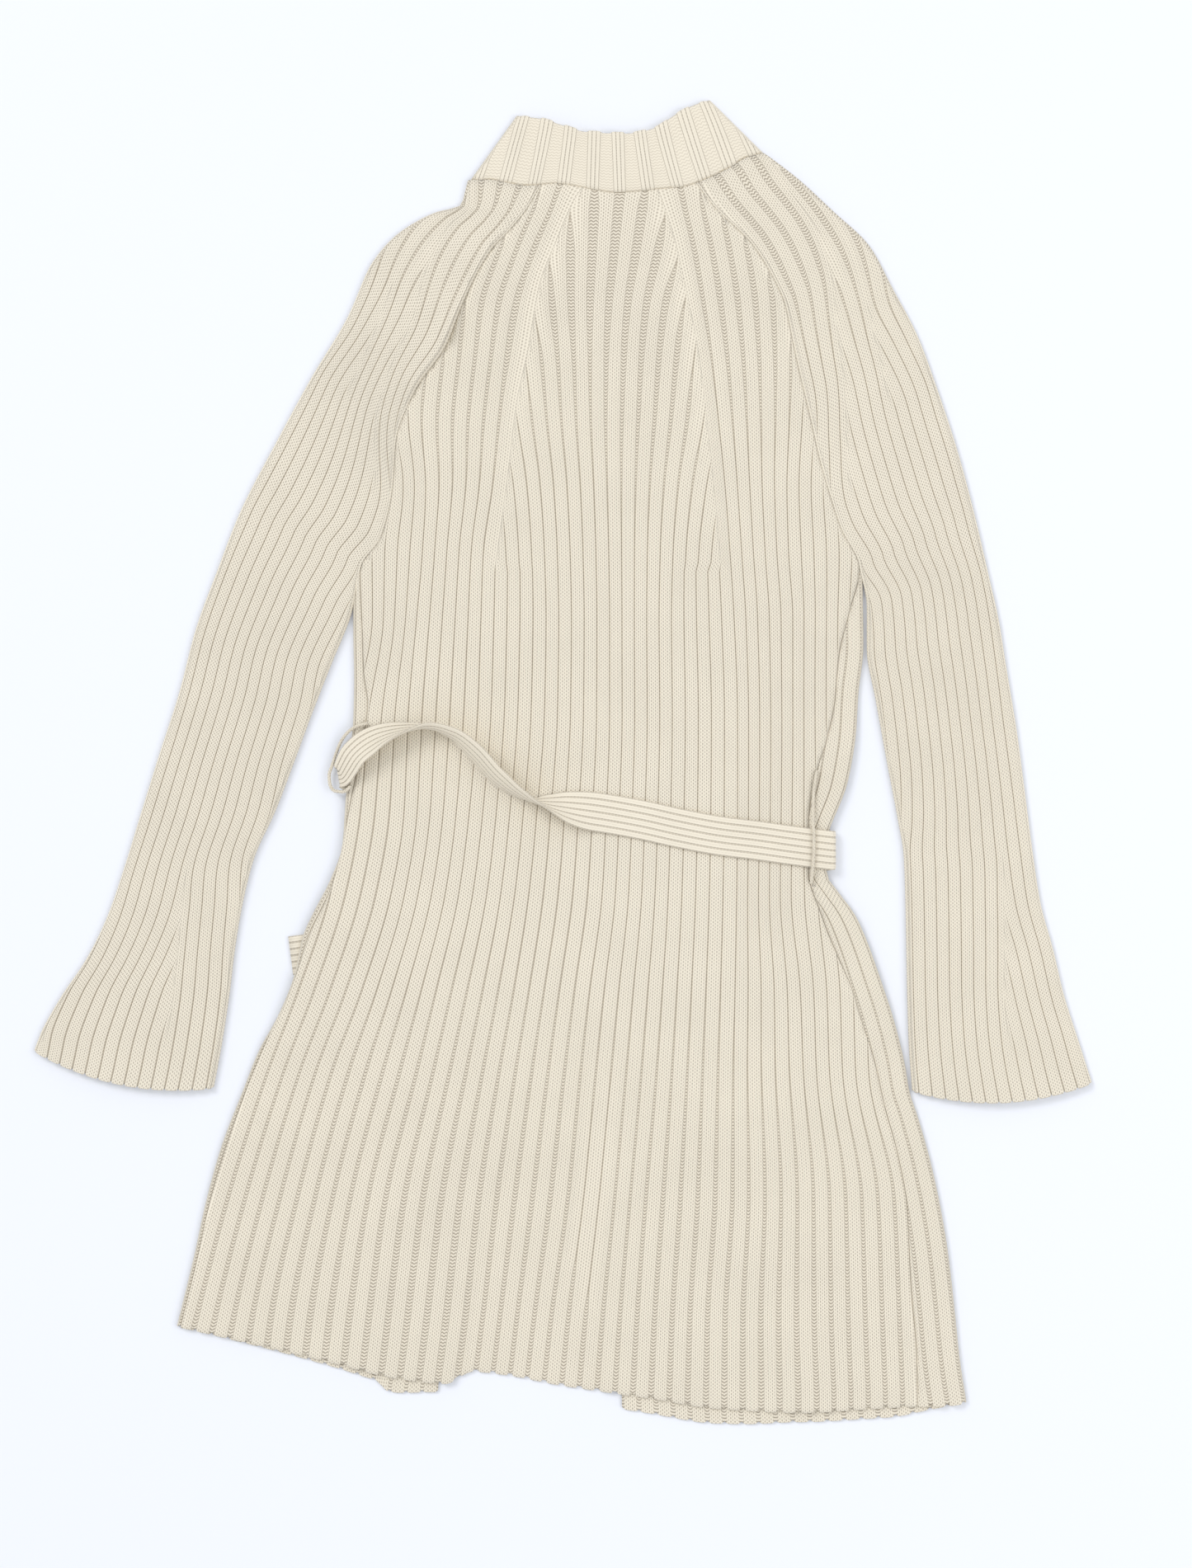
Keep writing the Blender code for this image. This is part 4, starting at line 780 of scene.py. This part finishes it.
class Graph:
    """Short words for adding and joining shader nodes."""

    def __init__(self, tree):
        self.tree = tree

    def add(self, kind, **values):
        node = self.tree.nodes.new("ShaderNode" + kind)
        for key, value in values.items():
            setattr(node, key, value)
        return node

    def feed(self, socket, value):
        if isinstance(value, bpy.types.NodeSocket):
            self.tree.links.new(value, socket)
        else:
            socket.default_value = value

    def math(self, operation, first, second=None, third=None, clamp=False):
        node = self.add("Math", operation=operation, use_clamp=clamp)
        for socket, value in zip(node.inputs, (first, second, third)):
            if value is not None:
                self.feed(socket, value)
        return node.outputs[0]

    def times(self, first, second, clamp=False):
        return self.math("MULTIPLY", first, second, clamp=clamp)

    def minus(self, first, second, clamp=False):
        return self.math("SUBTRACT", first, second, clamp=clamp)

    def mix(self, share, first, second):
        node = self.add("Mix", data_type="RGBA")
        self.feed(node.inputs["Factor"], share)
        self.feed(node.inputs["A"], first)
        self.feed(node.inputs["B"], second)
        return node.outputs["Result"]

    def hump(self, part, power):
        """A smooth hump over a part that runs from 0 to 1."""
        return self.math("POWER", self.math("SINE", self.math("MULTIPLY", part, math.pi)), power)


def stitch_group():
    """Rows of knit stitches on the ribs, and the wavy purl rows in the gutters between them, as heights and as masks
    for shade painted into the colour.
    """
    group = bpy.data.node_groups.new("knit stitches", "ShaderNodeTree")
    interface = group.interface
    for name in ("Across", "Along", "Gutter", "Wales", "Hole length", "Middle holes", "Purl height"):
        interface.new_socket(name, in_out="INPUT", socket_type="NodeSocketFloat")
    for name in ("Height", "Holes", "Purl shade", "On rib"):
        interface.new_socket(name, in_out="OUTPUT", socket_type="NodeSocketFloat")
    graph = Graph(group)
    times, minus, node, feed = graph.times, graph.minus, graph.math, graph.feed
    inputs = group.nodes.new("NodeGroupInput").outputs
    outputs = group.nodes.new("NodeGroupOutput").inputs
    across, along, gutter, wales, hole_length, middle_holes, purl_height = list(inputs)[:7]
    part = node("FRACT", across)
    from_groove = node("MINIMUM", part, minus(1.0, part))
    half_gutter = times(gutter, 0.5)
    into_rib = minus(from_groove, half_gutter)
    on_rib = node("MULTIPLY_ADD", into_rib, 36.0, 0.8, clamp=True)
    wales_per_rib = node("DIVIDE", wales, minus(1.0, gutter))
    # Two columns of holes a wale, the middle one half a course lower, which draws the stitches' V.
    halves = times(times(minus(part, half_gutter), wales_per_rib), 2.0)
    column = node("ROUND", halves)
    off_column = node("ABSOLUTE", minus(halves, column))
    in_middle = times(node("FRACT", times(column, 0.5)), 2.0)
    row = node("FRACT", node("MULTIPLY_ADD", in_middle, 0.5, along))
    off_row = node("ABSOLUTE", minus(row, 0.5))
    aside = node("POWER", node("DIVIDE", off_column, 0.34), 2.0)
    beyond = node("POWER", node("DIVIDE", off_row, hole_length), 2.0)
    hole = minus(1.0, node("ADD", aside, beyond), clamp=True)
    strength = node("MULTIPLY_ADD", in_middle, minus(middle_holes, 1.0), 1.0)
    hole = times(hole, strength)
    from_leg = minus(1.0, times(off_column, 2.0))
    leg = minus(1.0, node("POWER", from_leg, 2.0))
    stitch = node("MULTIPLY_ADD", leg, 0.35, times(minus(1.0, hole), 0.65))
    # Across the gutter the purl rows wave by the wale, lowest in the groove's middle.
    shifted = minus(part, node("GREATER_THAN", part, 0.5))
    wave = node("COSINE", times(times(shifted, wales_per_rib), 2 * math.pi))
    purl_row = node("FRACT", node("MULTIPLY_ADD", wave, -0.19, along))
    purl = graph.hump(purl_row, 1.0)
    # A gutter that has closed is one dark line of painted shade.
    open_share = times(minus(gutter, GUTTER_LEAST), 9.0, clamp=True)
    purl = times(purl, open_share)
    off_rib = minus(1.0, on_rib)
    purl_bump = times(times(purl, purl_height), off_rib)
    feed(outputs["Height"], node("ADD", times(stitch, on_rib), purl_bump))
    # Masks for painted shade: the stitches' holes, and the gutters between the purl rows.
    feed(outputs["Holes"], times(hole, on_rib))
    feed(outputs["Purl shade"], times(minus(1.0, purl), off_rib))
    feed(outputs["On rib"], on_rib)
    return group


def yarn_group():
    """Fine fibre unevenness of the yarn and the slow unevenness of the cloth, on object coordinates."""
    group = bpy.data.node_groups.new("yarn fibre", "ShaderNodeTree")
    for name in ("Fibre", "Cloth"):
        group.interface.new_socket(name, in_out="OUTPUT", socket_type="NodeSocketFloat")
    graph = Graph(group)
    outputs = group.nodes.new("NodeGroupOutput").inputs
    where = graph.add("TexCoord").outputs["Object"]
    for name, scale, detail in (("Fibre", 1400.0, 3.0), ("Cloth", 22.0, 4.0)):
        noise = graph.add("TexNoise")
        noise.inputs["Scale"].default_value = scale
        noise.inputs["Detail"].default_value = detail
        graph.feed(noise.inputs["Vector"], where)
        graph.feed(outputs[name], noise.outputs["Fac"])
    return group


def new_material(name):
    material = bpy.data.materials.new(name)
    material.use_nodes = True
    return material, material.node_tree.nodes["Principled BSDF"]


def knit_material(name, stitches, fibre, wales, hole_length, middle_holes, purl, depth):
    """Matte cream yarn with shade painted into its colour: light on the stitches, darker in their holes and between
    the purl rows.
    """
    material, shader = new_material(name)
    graph = Graph(material.node_tree)
    split = graph.add("SeparateXYZ")
    graph.feed(split.inputs[0], graph.add("UVMap", uv_map="knit").outputs["UV"])
    knit = graph.add("Group", node_tree=stitches)
    graph.feed(knit.inputs["Across"], split.outputs["X"])
    graph.feed(knit.inputs["Along"], split.outputs["Y"])
    graph.feed(knit.inputs["Gutter"], graph.add("Attribute", attribute_name="gutter").outputs["Fac"])
    for socket, value in (("Wales", wales), ("Hole length", hole_length), ("Middle holes", middle_holes),
                          ("Purl height", purl)):
        knit.inputs[socket].default_value = value
    yarn = graph.add("Group", node_tree=fibre)
    # Painted shade in the gutters between the purl rows and in the stitches' holes, with the fibre's random
    # unevenness added on top.
    dark = graph.math("MULTIPLY_ADD", knit.outputs["Purl shade"], purl,
                      graph.times(knit.outputs["Holes"], HOLE_SHADE))
    uneven = graph.times(graph.minus(yarn.outputs["Fibre"], 0.5), 0.3)
    dark = graph.math("ADD", dark, uneven, clamp=True)
    tone = graph.add("HueSaturation")
    graph.feed(tone.inputs["Value"], graph.math("MULTIPLY_ADD", yarn.outputs["Cloth"], 0.10, 0.95))
    graph.feed(tone.inputs["Color"], graph.mix(dark, (*YARN, 1), (*SHADED_YARN, 1)))
    graph.feed(shader.inputs["Base Color"], tone.outputs["Color"])
    graph.feed(shader.inputs["Roughness"], graph.math("MULTIPLY_ADD", dark, 0.08, 0.88))
    bump = graph.add("Bump")
    bump.inputs["Strength"].default_value = 1.0
    bump.inputs["Distance"].default_value = depth
    graph.feed(bump.inputs["Height"], graph.math("MULTIPLY_ADD", yarn.outputs["Fibre"], 0.25, knit.outputs["Height"]))
    graph.feed(shader.inputs["Normal"], bump.outputs["Normal"])
    shader.inputs["Specular IOR Level"].default_value = 0.2
    shader.inputs["Sheen Weight"].default_value = 0.25
    shader.inputs["Sheen Roughness"].default_value = 0.6
    return material


def plain_material(name, colour, roughness):
    material, shader = new_material(name)
    shader.inputs["Base Color"].default_value = (*colour, 1)
    shader.inputs["Roughness"].default_value = roughness
    return material


def make_stage():
    """The pale table, the lights and the camera straight above."""
    bpy.ops.mesh.primitive_plane_add(size=12, location=(0, 0, -0.0006))
    table = bpy.context.object
    table.name = "table"
    table.data.materials.append(plain_material("pale table", (0.86, 0.885, 0.945), 0.9))
    world = bpy.data.worlds.new("studio")
    scene.world = world
    world.use_nodes = True
    world.node_tree.nodes["Background"].inputs["Color"].default_value = (0.96, 0.975, 1.0, 1)
    world.node_tree.nodes["Background"].inputs["Strength"].default_value = 0.76
    # name, place, width in metres, watts
    for name, place_at, size, power in (
        ("window", (-5.0, 4.2, 6.4), 3.6, 270),
        ("fill", (2.6, -0.4, 3.0), 2.4, 36),
    ):
        light = bpy.data.lights.new(name, "AREA")
        light.size = size
        light.energy = power
        lamp = bpy.data.objects.new(name, light)
        lamp.location = place_at
        scene.collection.objects.link(lamp)
        x, y, z = place_at
        lamp.rotation_euler = (math.acos(z / math.hypot(x, y, z)), 0, math.atan2(-y, -x) - math.pi / 2)
    lens = bpy.data.cameras.new("camera")
    lens.lens, lens.sensor_width = LENS, SENSOR
    camera = bpy.data.objects.new("camera", lens)
    high = 5 * MM + PHOTO_HEIGHT * PIXEL * LENS / SENSOR
    camera.location = ((PHOTO_WIDTH / 2 - MIDDLE_X) * PIXEL, (MIDDLE_Y - PHOTO_HEIGHT / 2) * PIXEL, high)
    scene.collection.objects.link(camera)
    bpy.context.scene.camera = camera
    scene.view_settings.view_transform = "Standard"


def main():
    make_stage()
    stitches, fibre = stitch_group(), yarn_group()
    # name, wales across a rib, hole length in courses, strength of the middle holes, purl height and strength of the
    # shade painted between purl rows, bump in metres
    cream, cream_collar, cream_belt, strand = (knit_material(name, stitches, fibre, *values) for name, *values in (
        ("cream rib knit", WALES, 0.36, 0.8, 0.95, 0.0006),
        ("cream collar knit", WALES, 0.75, 0.1, 0.35, 0.0005),
        ("cream belt knit", 1.0, 0.75, 0.25, 0.4, 0.0004),
        ("cream crochet strand", 3.0, 0.36, 0.8, 0.5, 0.0003),
    ))
    back = make_back(cream)
    left_front = make_front("left_front_panel", "left_front", -1, 16, cream)
    right_front = make_front("right_front_panel", "right_front", 1, 20, cream)
    left_sleeve = make_sleeve("left_sleeve_tube", "left_sleeve", -1, cream)
    right_sleeve = make_sleeve("right_sleeve_tube", "right_sleeve", 1, cream)
    collar = make_collar(cream_collar)
    belt = make_belt(cream_belt)
    make_loop("side_loop_left", "belt_loop_left", LOOP_LEFT, strand)
    make_loop("side_loop_right", "belt_loop_right", LOOP_RIGHT, strand)


main()
